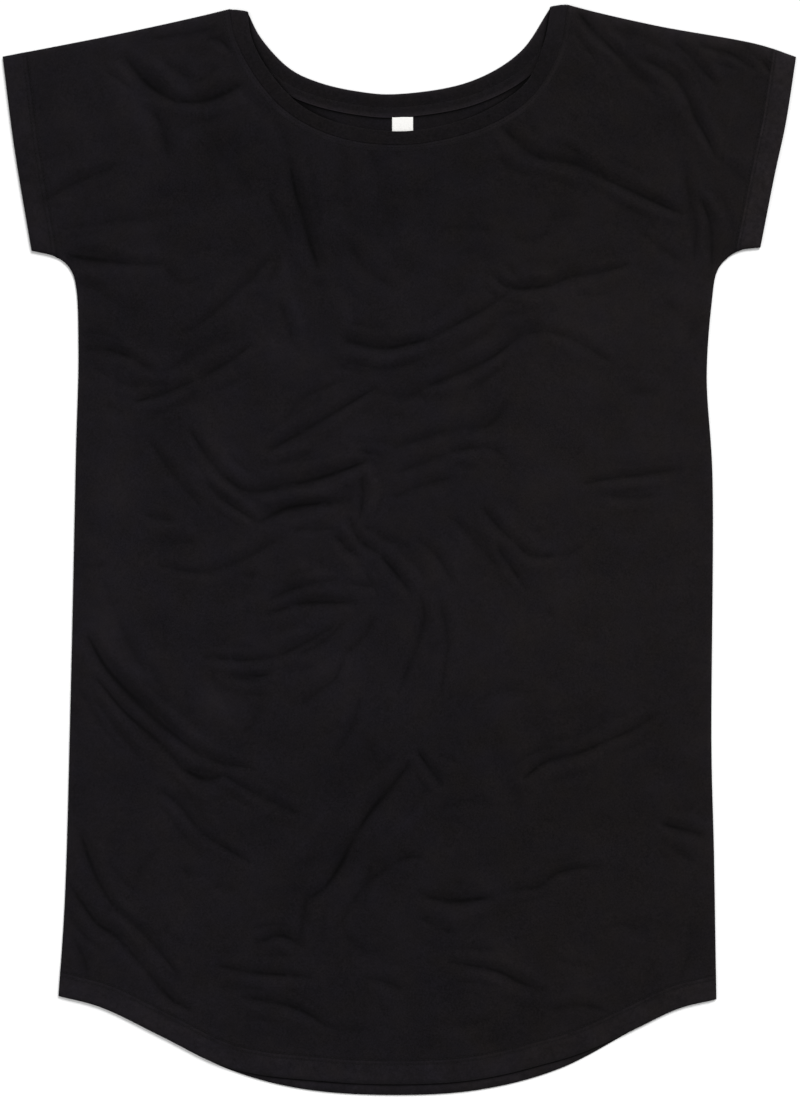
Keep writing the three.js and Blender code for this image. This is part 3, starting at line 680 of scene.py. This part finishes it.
def nearestCrease(lines, places):
    # For the trough that is nearest in its own half widths: distance, how deep it is there, the nearest point on
    # it, and the distance in half widths
    gap, deep, onto = np.full(len(places), 60.0), np.zeros(len(places)), places.copy()
    widths = np.full(len(places), 9.0)
    for line in (line for line in lines if line["deep"] > 0):
        low, high = line["run"].min(0) - 20, line["run"].max(0) + 20
        near = np.flatnonzero(((places > low) & (places < high)).all(1))
        if len(near) == 0:
            continue
        away, share, _, point = nearestOn(line["run"], places[near])
        wide = away / creaseWide(line, share)
        closer = wide < widths[near]
        picked = near[closer]
        gap[picked], onto[picked] = away[closer], point[closer]
        widths[picked] = wide[closer]
        deep[picked] = (line["deep"] * creaseFade(line, share))[closer]
    return gap, deep, onto, widths


# Materials

jersey = {
    "colour": (0.00663, 0.00556, 0.00652, 1),
    "roughness": 0.86,
    "specular": 0.05,
    "sheen": 0.03,
    "sheenRoughness": 0.5,
    "wale": 0.85,  # millimetres from one column of loops to the next
    "course": 0.62,  # and from one row to the next
    "knitBump": 0.16,
    "seamHighlightStrength": 0.50,  # painted highlight along the rolled shoulder and side seams: how much lighter they are
    "hemHighlightStrength": 0.45,  # painted highlight on the turned hems: how much lighter they are
    "uneven": 0.055,
    "hemDepth": 19.0,
    "neckLift": 0.42,  # painted highlight on the ridge round the neckband's seam: how much lighter it is
    "neckRidge": (3.0, 2.0),  # how far from the seam it runs, and its half width
    # Painted shade along the stitch rows of a hem: their distances from its edge, and how much darker they are
    "stitchRows": (16.7, 20.4),
    "stitchShade": 0.21,
    # Painted shade in the creases: creaseDark is how dark their core is painted
    "creaseDark": 0.84,
    "creaseCore": 0.42,  # half width of a deep crease's painted dark core, in half widths of the trough
    "creaseSoft": (1.05, 0.62),  # half width and darkness of the softer painted shade round it
    "creaseFlank": 0.07,  # painted highlight: how much lighter the cloth is beside it
    "coverDark": 0.82,  # how dark the shadow is that an upper piece lays on a lower one
    "coverReach": 1.7,
    "warmShift": (0.032, 0.020, -0.040),  # change of the dye's red, green and blue from cool to warm
}


def calc(tree, operation, *values):
    # A Math node whose inputs are numbers or other nodes' sockets
    node = tree.nodes.new("ShaderNodeMath")
    node.operation = operation
    for socket, value in zip(node.inputs, values):
        if isinstance(value, (int, float)):
            socket.default_value = value
        else:
            tree.links.new(value, socket)
    return node.outputs[0]


def startMaterial(name):
    material = bpy.data.materials.new(name)
    material.use_nodes = True
    tree = material.node_tree
    place = tree.nodes.new("ShaderNodeTexCoord").outputs["Object"]
    return material, tree, tree.nodes["Principled BSDF"], place


def noiseOn(tree, place, scale, detail):
    node = tree.nodes.new("ShaderNodeTexNoise")
    node.inputs["Scale"].default_value = scale
    node.inputs["Detail"].default_value = detail
    tree.links.new(place, node.inputs["Vector"])
    return node.outputs["Fac"]


def tinted(tree, colour, amount):
    # One colour made lighter or darker by an amount socket
    scaled = tree.nodes.new("ShaderNodeVectorMath")
    scaled.operation = "SCALE"
    scaled.inputs[0].default_value = colour[:3]
    tree.links.new(amount, scaled.inputs["Scale"])
    return scaled.outputs[0]


def markOn(tree, mark):
    node = tree.nodes.new("ShaderNodeAttribute")
    node.attribute_name = mark
    return node.outputs["Fac"]


def bumped(tree, coat, height, strength, distance):
    bump = tree.nodes.new("ShaderNodeBump")
    bump.inputs["Strength"].default_value = strength
    bump.inputs["Distance"].default_value = distance
    tree.links.new(height, bump.inputs["Height"])
    tree.links.new(bump.outputs["Normal"], coat.inputs["Normal"])


def knitHeight(tree, place):
    # Columns of V-shaped loops: a column's height times a wave down it, shifted by the place across the column
    axes = tree.nodes.new("ShaderNodeSeparateXYZ")
    tree.links.new(place, axes.inputs[0])
    across = calc(tree, "MULTIPLY", axes.outputs[0], 1 / (jersey["wale"] * mm))
    down = calc(tree, "MULTIPLY", axes.outputs[1], 1 / (jersey["course"] * mm))
    fold = calc(tree, "MULTIPLY", calc(tree, "PINGPONG", across, 0.5), 2.0)
    slanted = calc(tree, "MULTIPLY_ADD", fold, 0.9, down)
    loop = calc(tree, "MULTIPLY", calc(tree, "PINGPONG", slanted, 0.5), 2.0)
    column = calc(tree, "SUBTRACT", 1.0, calc(tree, "POWER", fold, 3.0))
    return calc(tree, "MULTIPLY", column, calc(tree, "MULTIPLY_ADD", loop, 0.6, 0.4))


def bellOn(tree, value, middle, reach):
    # 1 where a socket's value is the middle, falling off on both sides
    off = calc(tree, "DIVIDE", calc(tree, "SUBTRACT", value, middle), reach)
    return calc(tree, "EXPONENT", calc(tree, "MULTIPLY", calc(tree, "MULTIPLY", off, off), -1.0))


def jerseyMaterial(name):
    # Black single jersey. The marks on the points paint highlights on the hems, seams and neck ridge, paint shade
    # into crease lines and sink them, and paint the shadows that upper pieces lay on lower ones; a piece without
    # a mark reads it as 0, which leaves the cloth plain.
    material, tree, coat, place = startMaterial(name)
    cloudy = noiseOn(tree, place, 30.0, 3.0)
    mottled = noiseOn(tree, place, 170.0, 2.0)
    fuzzy = noiseOn(tree, place, 800.0, 2.0)
    knit = knitHeight(tree, place)
    light = calc(tree, "MULTIPLY_ADD", cloudy, 0.44, -0.205)
    light = calc(tree, "MULTIPLY_ADD", mottled, 0.38, light)
    light = calc(tree, "MULTIPLY_ADD", fuzzy, 1.60, light)
    # The uneven tone, with painted broad light and shade and painted highlights on raised folds; the band and
    # tape set their own tones here
    light = calc(tree, "ADD", light, markOn(tree, "toneAndPaintedLight"))
    # Painted highlight on the turned hems, broken up by noise
    fromHem = markOn(tree, "fromHem")
    hemHighlight = markOn(tree, "hemHighlight")
    hem = calc(tree, "MULTIPLY", calc(tree, "LESS_THAN", fromHem, jersey["hemDepth"] * mm), hemHighlight)
    hem = calc(tree, "MULTIPLY", hem, calc(tree, "MULTIPLY_ADD", noiseOn(tree, place, 230.0, 2.0), 2.6, -0.3))
    light = calc(tree, "MULTIPLY_ADD", hem, jersey["hemHighlightStrength"], light)
    # Painted highlight along the shoulder and side seams
    light = calc(tree, "MULTIPLY_ADD", markOn(tree, "seamHighlight"), jersey["seamHighlightStrength"], light)
    # Painted highlight on the ridge beside the neckband's seam
    middle, reach = jersey["neckRidge"]
    neck = bellOn(tree, markOn(tree, "fromNeck"), middle * mm, reach * mm)
    neck = calc(tree, "MULTIPLY", neck, markOn(tree, "neckHighlight"))
    light = calc(tree, "MULTIPLY_ADD", neck, jersey["neckLift"], light)
    # Painted shade in the crease lines, a dark core in a softer line, with a painted highlight beside them; the
    # core also sinks the bump
    deep = calc(tree, "POWER", markOn(tree, "creaseDeep"), 0.7)
    away = markOn(tree, "creaseAway")
    softReach, softDark = jersey["creaseSoft"]
    soft = calc(tree, "MULTIPLY", bellOn(tree, away, 0.0, softReach), softDark)
    sharper = calc(tree, "SUBTRACT", bellOn(tree, away, 0.0, jersey["creaseCore"]), soft)
    core = calc(tree, "MULTIPLY_ADD", sharper, calc(tree, "MULTIPLY", deep, 0.65), soft)
    core = calc(tree, "MULTIPLY", core, deep)
    flank = calc(tree, "MULTIPLY", bellOn(tree, away, 2.5, 0.9), deep)
    # Painted shadows that the front's hem, the tape and the neckband's front half lay on the cloth below them
    covers = []
    for distance, depth in (("fromCover", "coverDeep"), ("fromBand", "bandDeep")):
        cover = bellOn(tree, markOn(tree, distance), 0.0, jersey["coverReach"] * mm)
        covers.append(calc(tree, "MULTIPLY", cover, markOn(tree, depth)))
    # Painted shade along the hems' stitch rows
    rows = calc(tree, "ADD", *(bellOn(tree, fromHem, row * mm, 0.9 * mm) for row in jersey["stitchRows"]))
    rows = calc(tree, "MULTIPLY", rows, calc(tree, "GREATER_THAN", hemHighlight, 0.01))
    shadows = (core, "creaseDark"), (covers[0], "coverDark"), (covers[1], "coverDark"), (rows, "stitchShade")
    for shadow, share in shadows:
        light = calc(tree, "MULTIPLY", light, calc(tree, "MULTIPLY_ADD", shadow, -jersey[share], 1.0))
    light = calc(tree, "MULTIPLY", light, calc(tree, "MULTIPLY_ADD", flank, jersey["creaseFlank"], 1.0))
    height = calc(tree, "MULTIPLY_ADD", fuzzy, 0.5, knit)
    height = calc(tree, "MULTIPLY_ADD", core, -2.5, height)
    patches = calc(tree, "MULTIPLY_ADD", noiseOn(tree, place, 55.0, 1.0), 5.0, -2.5)
    warmth = calc(tree, "ADD", markOn(tree, "warmth"), patches)
    hue = tree.nodes.new("ShaderNodeCombineXYZ")
    for socket, share in zip(hue.inputs, jersey["warmShift"]):
        tree.links.new(calc(tree, "MULTIPLY_ADD", warmth, share, 1.0), socket)
    dyed = tree.nodes.new("ShaderNodeVectorMath")
    dyed.operation = "MULTIPLY"
    tree.links.new(tinted(tree, jersey["colour"], light), dyed.inputs[0])
    tree.links.new(hue.outputs[0], dyed.inputs[1])
    tree.links.new(dyed.outputs[0], coat.inputs["Base Color"])
    tree.links.new(calc(tree, "MULTIPLY_ADD", fuzzy, 0.14, jersey["roughness"] - 0.07), coat.inputs["Roughness"])
    coat.inputs["Specular IOR Level"].default_value = jersey["specular"]
    coat.inputs["Sheen Weight"].default_value = jersey["sheen"]
    coat.inputs["Sheen Roughness"].default_value = jersey["sheenRoughness"]
    bumped(tree, coat, height, jersey["knitBump"], 0.0004)
    return material


def threadMaterial():
    # Black sewing thread, its twist a little lighter here and there
    material, tree, coat, place = startMaterial("blackThread")
    twist = noiseOn(tree, place, 900.0, 1.0)
    worn = noiseOn(tree, place, 60.0, 2.0)
    light = calc(tree, "MULTIPLY_ADD", worn, 0.7, calc(tree, "MULTIPLY_ADD", twist, 0.4, 0.45))
    tree.links.new(tinted(tree, (0.0076, 0.0070, 0.0076), light), coat.inputs["Base Color"])
    coat.inputs["Roughness"].default_value = 0.7
    coat.inputs["Specular IOR Level"].default_value = 0.06
    bumped(tree, coat, twist, 0.2, 0.0002)
    return material


def labelMaterial():
    # White woven ribbon: fine ribs across it, a looser thread now and then
    material, tree, coat, place = startMaterial("whiteRibbon")
    axes = tree.nodes.new("ShaderNodeSeparateXYZ")
    tree.links.new(place, axes.inputs[0])
    weft = calc(tree, "SINE", calc(tree, "MULTIPLY", axes.outputs[1], 2 * pi / (0.32 * mm)))
    warp = calc(tree, "SINE", calc(tree, "MULTIPLY", axes.outputs[0], 2 * pi / (0.45 * mm)))
    cloudy = noiseOn(tree, place, 300.0, 2.0)
    weave = calc(tree, "MULTIPLY_ADD", weft, 0.35, calc(tree, "MULTIPLY", warp, 0.25))
    light = calc(tree, "MULTIPLY_ADD", weave, 0.03, calc(tree, "MULTIPLY_ADD", cloudy, 0.08, 0.95))
    tree.links.new(tinted(tree, (0.83, 0.82, 0.80), light), coat.inputs["Base Color"])
    coat.inputs["Roughness"].default_value = 0.55
    coat.inputs["Sheen Weight"].default_value = 0.15
    bumped(tree, coat, weave, 0.3, 0.0002)
    return material


# Front and back

lie = {
    "wall": 1.0,
    "frontRest": 1.3,  # inner face of the front where it lies on the back
    "loft": 2.5,  # how far it stands off inside its edges
    "loftReach": 30,
    "neckRest": 2.6,  # inner face at the neckband's seam
    "neckReach": 20,
    "hemExtra": 0.5,
    "hemEaseOut": 6,
    "cuffHem": 18,
    "skirtHem": 20,
    "edgeRoll": 0.5,  # how far the outer face comes down at a turned edge
    "seamRoll": 1.0,  # and at the shoulder and side seams
    "ripple": 0.45,
    "smallRipple": 0.10,
    "hemPucker": 0.16,
    "frontCell": 3.1,
    "backCell": 5.5,
}


def turnedHem(toCuff, toSkirt):
    # 1 on the turned-up cuffs and skirt hem, easing to 0 inside them
    cuff = 1 - ramp(toCuff, lie["cuffHem"], lie["cuffHem"] + lie["hemEaseOut"])
    return np.maximum(cuff, 1 - ramp(toSkirt, lie["skirtHem"], lie["skirtHem"] + lie["hemEaseOut"]))


frontLines = creaseLines(frontCreases)
backLines = creaseLines(backCreases)


def frontOuter(places):
    # Rest height, plus a lift at the neckband, plus loft inside the edges, plus creases and ripples, plus a
    # wall and the turned hem, less a roll at the very edge
    toCuff, toSkirt, toSeam, toEdge = edgeGaps(places, frontSkirt)
    toNeck = nearestOn(necks["frontSeam"], places)[0]
    neckLift = (lie["neckRest"] - lie["frontRest"]) * bell(toNeck / lie["neckReach"])
    loft = lie["loft"] * (1 - bell(toEdge / lie["loftReach"])) * (1 - bell(toNeck / lie["loftReach"]))
    inside = ramp(toEdge, 0, lie["loftReach"] / 2) * ramp(toNeck, 0, lie["loftReach"] / 2)
    uneven = creaseHeight(frontLines, places) + lie["ripple"] * ripple(places, 3, (30, 80))
    uneven += lie["smallRipple"] * ripple(places, 4, (9, 24), 24)
    inner = np.maximum(lie["frontRest"], lie["frontRest"] + neckLift + loft + uneven * inside)
    hem = turnedHem(toCuff, toSkirt)
    pucker = lie["hemPucker"] * hem * ripple(places, 8, (9, 16)) * ramp(toEdge, 0, 4)
    roll = np.maximum(lie["edgeRoll"] * bell(toEdge / 1.6), lie["seamRoll"] * bell(toSeam / 4.5))
    return inner + lie["wall"] + lie["hemExtra"] * hem + pucker - roll


def backLower(places):
    # The underside: flat on the floor, with creases and puckered hems that stand off it a little
    toCuff, toSkirt, _, toEdge = edgeGaps(places, edges["skirtHem"])
    inside = ramp(toEdge, 4, 18)
    lines = -np.minimum(creaseHeight(backLines, places), 0)
    hem = turnedHem(toCuff, toSkirt)
    return lines * inside + 0.26 * hem * ramp(toEdge, 0, 3) + 0.25 * bell(toEdge / 1.6)


def pastEdge(run, way, places):
    # Distance beyond the edge of an upper piece, below 0 under it
    gap, _, side, _ = nearestOn(run, places[:, :2])
    return gap * side * way


def gapWidth(places):
    # How much wider the painted shadow in the gap under the front of the neckband is: widest where the tape goes
    # under it
    x, y = places[:, 0], places[:, 1]
    return 1 + bell((x - 99) / 12) * bell((y - 386) / 11) + 0.8 * bell((x + 74) / 13) * bell((y - 363) / 10)


def bandCover(places):
    # Distance beyond the free edge of the neckband's front half, and how deep its painted shadow is there:
    # deepest towards the shoulders, and none where the two halves of the band touch on the right
    x, y = places[:, 0], places[:, 1]
    touching = bell((x - 115) / 8) * bell((y - 405) / 12)
    past = pastEdge(necks["frontFree"], 1, places) / gapWidth(places)
    return {"fromBand": past * mm, "bandDeep": ramp(np.abs(x), 36, 74) * (1 - touching)}


def toneAndPaintedLight(places, areas, lines):
    # Sum of uneven cloudy tone, the broad soft areas of painted light and shade and a painted highlight along the
    # crest of each raised fold
    tone = jersey["uneven"] * ripple(places, 16, (25, 100), 24)
    for x, y, reachX, reachY, lift in areas:
        tone += lift * bell((places[:, 0] - x) / reachX) * bell((places[:, 1] - y) / reachY)
    for line in (line for line in lines if line["deep"] < 0):
        away, share, _, _ = nearestOn(line["run"], places)
        tone -= creaseForm["crestHighlight"] * line["deep"] * creaseFade(line, share) * bell(away / line["half"])
    return tone


def clothMarks(places, lines, skirt, neckSeam, areas):
    # Values kept on the cloth's points: distance to a turned edge and to the neck seam, how much painted
    # highlight the cloth gets along its hems, seams and neck, and how far off and how deep the nearest crease is
    _, deep, _, widths = nearestCrease(lines, places)
    toCuff, toSkirt, toSeam, _ = edgeGaps(places, skirt)
    toNeck, along, _, _ = nearestOn(neckSeam, places)
    right, high = places[:, 0] > 0, places[:, 1] > 330
    # Painted highlight on the hems: strongest on the right cuff, which faces the light, weakest on the left one
    hem = np.where(toCuff < toSkirt, np.where(right, 1.55, 0.42), 0.76)
    patchy = 0.9 + 0.2 * ripple(places, 12, (15, 60))
    # Painted highlight along the seams: strongest and widest on the right shoulder, which faces the light
    shoulder = np.where(high, np.where(right, 1.1, 0.6), 0.5)
    reach = np.where(high & right, 6.5, 4.0)
    # Painted highlight beside the neck seam, strongest on its slanting stretches
    diagonal = 0.45 + 0.75 * bell((np.abs(along - 0.5) - 0.27) / 0.13)
    return {
        "fromHem": np.minimum(toCuff, toSkirt) * mm,
        "hemHighlight": hem * np.maximum(patchy, 0.05),
        "seamHighlight": shoulder * bell(toSeam / reach) * (0.75 + 0.4 * ripple(places, 13, (10, 40))),
        "fromNeck": toNeck * mm,
        "neckHighlight": diagonal * (0.85 + 0.3 * ripple(places, 14, (15, 50))),
        "creaseAway": widths,
        "creaseDeep": np.clip(deep / 2.6, 0, 1),
        "toneAndPaintedLight": toneAndPaintedLight(places, areas, lines),
        "warmth": 2 * ramp(places[:, 0] + 30 * ripple(places, 15, (20, 120)), 5, 130) - 1,
    }


def makeFront(material):
    ring, corners = panelRing(necks["frontSeam"], frontSkirt)
    places, triangles, onEdge = clothGrid(ring, corners, lie["frontCell"], frontLines)
    top = frontOuter(places)
    low = np.where(onEdge, 1.02, np.maximum(top - lie["wall"] - 0.2, 1.05))
    nearNeck = nearestOn(necks["frontSeam"], places)[0] < 0.01
    low = np.where(onEdge & nearNeck, top - lie["wall"], low)
    outer, inner = np.column_stack([places, top]), np.column_stack([places, low])
    marks = clothMarks(places, frontLines, frontSkirt, necks["frontSeam"], paintedLightAreas)
    return clothShell("front_cloth", triangles, outer, inner, material, marks)


def makeBack(material):
    ring, corners = panelRing(necks["backSeam"], edges["skirtHem"])
    places, triangles, onEdge = clothGrid(ring, corners, lie["backCell"])
    low = backLower(places)
    top = lie["wall"] + np.maximum(low - 0.3, 0)
    top = np.where(onEdge, lie["wall"] - 0.1, top)
    outer, inner = np.column_stack([places, top]), np.column_stack([places, low])
    marks = clothMarks(places, backLines, edges["skirtHem"], necks["backSeam"], [])
    marks["neckHighlight"] *= 0
    # The back's hem strip below the front's hem gets a stronger painted highlight
    marks["hemHighlight"] *= 1.5
    # Painted shadows beyond the front's hem and below the tape's lower edge; none on the underside
    pastHem = pastEdge(frontSkirt, -1, places)
    pastTape = pastEdge(necks["backSeam"], -1, places) - tape["width"]
    marks["fromCover"] = np.where(places[:, 1] > 0, pastTape / gapWidth(places), pastHem) * mm
    marks["coverDeep"] = np.where(places[:, 1] > 0, 1.0, 0.9)
    marks["toneAndPaintedLight"] = np.where(places[:, 1] > 300, tape["tone"], 0.0)
    marks |= bandCover(places)
    shaded = {mark: marks[mark] * 0 for mark in ("coverDeep", "bandDeep")}
    return clothShell("back_cloth", triangles, outer, inner, material, marks, marks | shaded)


# Neckband, tape and label

band = {
    "thick": 1.8,
    "frontRest": 2.6,
    "seamTuck": 0.5,  # how far its seam edge slips under the panel
    "along": 150,
    "turn": 10,
    "round": 22,
    "crown": 0.25,
    "pucker": 0.12,
    "frontTone": -0.20,
    "backTone": -0.22,
    # painted highlight along the free edge of the band's back half
    "freeEdgeHighlight": 0.75,
    "shoulderTone": 0.45,
}


def bandStations(side, shares, z, up):
    # Seam and free edge across from each other at shares of their length, with the way that the outside faces
    seam, free = alongRun(necks[side + "Seam"], shares), alongRun(necks[side + "Free"], shares)
    flat = np.full((len(shares), 1), z)
    facing = np.tile([0.0, 0.0, up], (len(shares), 1))
    return np.hstack([seam, flat]), np.hstack([free, flat]), facing


def bandTurn(frontEnd, backEnd, radius):
    # Half circle about X that carries the band from the end of its front to the end of its back
    angle = np.linspace(0, pi, band["turn"] + 1)[:, None]
    blend = (1 - np.cos(angle)) / 2
    swing = np.hstack([np.zeros_like(angle), np.sin(angle), np.cos(angle)])
    def carried(a, b):
        point = a + (b - a) * blend
        point[:, 2] = (a[2] + b[2]) / 2
        return point + radius * swing
    return carried(frontEnd[0], backEnd[0]), carried(frontEnd[1], backEnd[1]), swing


def makeNeckband(material):
    # A flattened round section carried along the front, over the right shoulder, along the back and over the
    # left shoulder
    half = band["thick"] / 2
    frontZ, backZ = band["frontRest"] + half, half
    radius = (frontZ - backZ) / 2
    endShare = (radius + half) / runLength(necks["frontSeam"])
    shares = np.linspace(endShare, 1 - endShare, band["along"])
    front = bandStations("front", shares, frontZ, 1.0)
    back = tuple(part[::-1] for part in bandStations("back", shares, backZ, -1.0))
    right = bandTurn([p[-1] for p in front], [p[0] for p in back], radius)
    left = tuple(part[::-1] for part in bandTurn([p[0] for p in front], [p[-1] for p in back], radius))
    seam, free, facing = (
        np.vstack([front[k][1:-1], right[k], back[k][1:-1], left[k]]) for k in range(3)
    )
    width = np.linalg.norm(free - seam, axis=1)[:, None]
    across = (free - seam) / width
    angle = np.linspace(0, 2 * pi, band["round"], endpoint=False)[None, :]
    side = np.sign(np.cos(angle)) * np.abs(np.cos(angle)) ** 0.45
    lift = np.sign(np.sin(angle)) * np.abs(np.sin(angle)) ** 0.7
    out = -band["seamTuck"] + (width + band["seamTuck"]) * (side + 1) / 2
    thick = half * (1 - 0.3 * bell((side + 0.72) / 0.2))
    station = np.arange(len(seam))[:, None]
    beat = np.sin(station * 0.9 + 2 * np.sin(station * 0.13))
    uneven = band["pucker"] * beat * bell((side + 0.6) / 0.5) * (lift > 0)
    up = lift * (thick - 0.02) + uneven
    points = seam[:, None] + across[:, None] * out[..., None] + facing[:, None] * up[..., None]
    points[..., 2] = np.maximum(points[..., 2], 0.0)
    faces = gridFaces(len(seam), band["round"], True, True)
    toFree = width - out
    inFront = (station < len(front[0]) - 2 + band["turn"] // 2) * np.ones_like(out)
    # Painted highlight along the free edge of the back half, which faces the light
    backTone = band["backTone"] + band["freeEdgeHighlight"] * bell(toFree / 2.6)
    tone = np.where(inFront > 0, band["frontTone"], backTone)
    tone += band["shoulderTone"] * bell((points[..., 1] - 450) / 30)
    marks = {"toneAndPaintedLight": tone.ravel()} | bandCover(points.reshape(-1, 3))
    marks["bandDeep"] *= (1 - inFront.ravel()) * (points[..., 2].ravel() > half)
    return meshPiece("neckband_cloth", points.reshape(-1, 3), [faces], material, marks)


tape = {
    "from": 0.06, "to": 0.94,  # shares of the back neck seam
    "gap": 0.1, "width": 8.4, "thick": 0.8, "rest": 1.05, "along": 120, "round": 16,
    "tone": -0.12, "edgeTone": 1.45,  # how much lighter the tape and its lower edge are
}


def flatStrip(run, widthFrom, widthTo, low, thick, around):
    # A flattened round section carried along a run, to the right of it, with closed ends
    along, left = runSides(run)
    angle = np.linspace(0, 2 * pi, around, endpoint=False)[None, :]
    side = np.sign(np.cos(angle)) * np.abs(np.cos(angle)) ** 0.35
    lift = np.sign(np.sin(angle)) * np.abs(np.sin(angle)) ** 0.6
    out = widthFrom + (widthTo - widthFrom) * (side + 1) / 2
    flat = run[:, None] - left[:, None] * (out * np.ones((len(run), 1)))[..., None]
    up = low + thick / 2 * (1 + lift) * np.ones((len(run), 1))
    return np.concatenate([flat, up[..., None]], 2)


def makeTape(material):
    run = alongRun(necks["backSeam"], np.linspace(tape["from"], tape["to"], tape["along"]))
    points = flatStrip(run, tape["gap"], tape["width"], tape["rest"], tape["thick"], tape["round"])
    points[..., 2] += 0.06 * np.sin(np.arange(len(run)) * 1.3)[:, None]
    faces = gridFaces(len(run), tape["round"], False, True)
    first = np.arange(tape["round"])[None, :]
    last = first + (len(run) - 1) * tape["round"]
    points = points.reshape(-1, 3)
    toLow = tape["width"] - nearestOn(necks["backSeam"], points[:, :2])[0]
    marks = {"toneAndPaintedLight": tape["tone"] + tape["edgeTone"] * bell(toLow / 1.6)} | bandCover(points)
    return meshPiece("tape_cloth", points, [faces[:, ::-1], first, last[:, ::-1]], material, marks)


label = {
    "middleX": 3.0, "top": 354.6, "width": 17.2, "length": 25.0,
    "thick": 0.34, "rest": 1.35, "curl": 0.5, "corner": 1.6, "steps": (24, 34),
}


def makeLabel(material):
    # A thin ribbon hung from under the tape; its lower corners curl up a little
    columns, rows = label["steps"]
    u, v = np.meshgrid(np.linspace(-1, 1, columns), np.linspace(0, 1, rows))
    x = label["middleX"] + u * label["width"] / 2
    y = label["top"] - v * label["length"] + label["corner"] * np.abs(u) ** 9 * v**4
    z = label["rest"] + label["curl"] * v**3 * (0.4 + 0.6 * u**2) + 0.06 * np.sin(3 * u + 5 * v) * v
    sheet = np.stack([x, y, z], 2).reshape(-1, 3)
    faces = gridFaces(rows, columns)
    triangles = np.vstack([faces[:, [0, 3, 2]], faces[:, [0, 2, 1]]])
    upper = sheet + [0, 0, label["thick"]]
    return clothShell("label_cloth", triangles, upper, sheet, material, {})


# Sewing

sewing = {
    "length": 2.7, "pitch": 3.2, "width": 0.56, "height": 0.28,
    "cuffRows": (17.0, 20.6), "skirtRows": (16.4, 20.2), "neckRows": (2.4, 5.6), "tapeRows": (1.6, 6.9),
}


def insetRun(run, depth):
    # A run moved to its left by a depth, set out at the stitches' pitch
    return evenRun(run + runSides(run)[1] * depth, sewing["pitch"])


def stitches(name, rows, material, flip=1.0):
    # Each row is a run with the heights of its points. A stitch is a bead, thick in the middle, whose ends dip.
    t = np.linspace(-1, 1, 5)[:, None]
    angle = np.linspace(0, 2 * pi, 6, endpoint=False)[None, :]
    girth = np.sqrt(1.02 - t**2 * 0.85)
    lengthwise = t * sewing["length"] / 2 * np.ones_like(angle)
    sideways = sewing["width"] / 2 * girth * np.cos(angle)
    upward = flip * (sewing["height"] / 2 * girth * np.sin(angle) - 0.16 * t**2 * np.ones_like(angle))
    points = []
    for run, heights in rows:
        along, left = runSides(run)
        flat = run[:, None, None] + along[:, None, None] * lengthwise[..., None]
        flat = flat + left[:, None, None] * sideways[..., None]
        up = heights[:, None, None] + upward
        points.append(np.concatenate([flat, up[..., None]], 3).reshape(-1, 30, 3))
    points = np.vstack(points)
    first = np.arange(len(points))[:, None, None] * 30
    sides = (gridFaces(5, 6, False, True) + first).reshape(-1, 4)
    ends = (np.array([np.arange(6)[::-1], 24 + np.arange(6)]) + first).reshape(-1, 6)
    if flip < 0:
        sides, ends = sides[:, ::-1], ends[:, ::-1]
    return meshPiece(name, points.reshape(-1, 3), [sides, ends], material)


def keptInside(run, ring, margin):
    # The points of a run that lie inside an outline by a margin
    deepEnough = nearestOn(np.vstack([ring, ring[:1]]), run)[0] > margin
    return run[insideOf(ring, run) & deepEnough]


def makeFrontSewing(material):
    ring, _ = panelRing(necks["frontSeam"], frontSkirt)
    runs = [insetRun(edges[cuff], depth) for cuff in ("cuffLeft", "cuffRight") for depth in sewing["cuffRows"]]
    runs += [insetRun(frontSkirt, depth) for depth in sewing["skirtRows"]]
    runs += [insetRun(necks["frontSeam"][::-1], depth) for depth in sewing["neckRows"]]
    runs = [keptInside(run, ring, 1.2) for run in runs]
    return stitches("front_stitching", [(run, frontOuter(run) + 0.1) for run in runs], material)


def makeBackSewing(material):
    # The same rows on the outside of the back, which faces the floor
    ring, _ = panelRing(necks["backSeam"], edges["skirtHem"])
    runs = [insetRun(edges[cuff], depth) for cuff in ("cuffLeft", "cuffRight") for depth in sewing["cuffRows"]]
    runs += [insetRun(edges["skirtHem"], depth) for depth in sewing["skirtRows"]]
    runs = [keptInside(run, ring, 1.2) for run in runs]
    rows = [(run, np.maximum(backLower(run) - 0.02, 0.2)) for run in runs]
    return stitches("back_stitching", rows, material, -1.0)


def makeTapeSewing(material):
    run = alongRun(necks["backSeam"], np.linspace(tape["from"], tape["to"], 400))
    top = tape["rest"] + tape["thick"]
    rows = [evenRun(run - runSides(run)[1] * depth, sewing["pitch"])[1:-1] for depth in sewing["tapeRows"]]
    return stitches("tape_stitching", [(row, np.full(len(row), top + 0.02)) for row in rows], material)


makeStudio()
blackJersey = jerseyMaterial("blackJersey")
thread = threadMaterial()
front = makeFront(blackJersey)
back = makeBack(blackJersey)
neckband = makeNeckband(blackJersey)
tapeCloth = makeTape(blackJersey)
sizeLabel = makeLabel(labelMaterial())
frontSewing = makeFrontSewing(thread)
backSewing = makeBackSewing(thread)
tapeSewing = makeTapeSewing(thread)

for piece in (front, back, neckband, tapeCloth, sizeLabel, frontSewing, backSewing, tapeSewing):
    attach(piece, "root")
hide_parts("front_panel")
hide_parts("back_panel")
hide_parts("neckband")
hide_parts("back_neck_tape")
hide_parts("size_label")
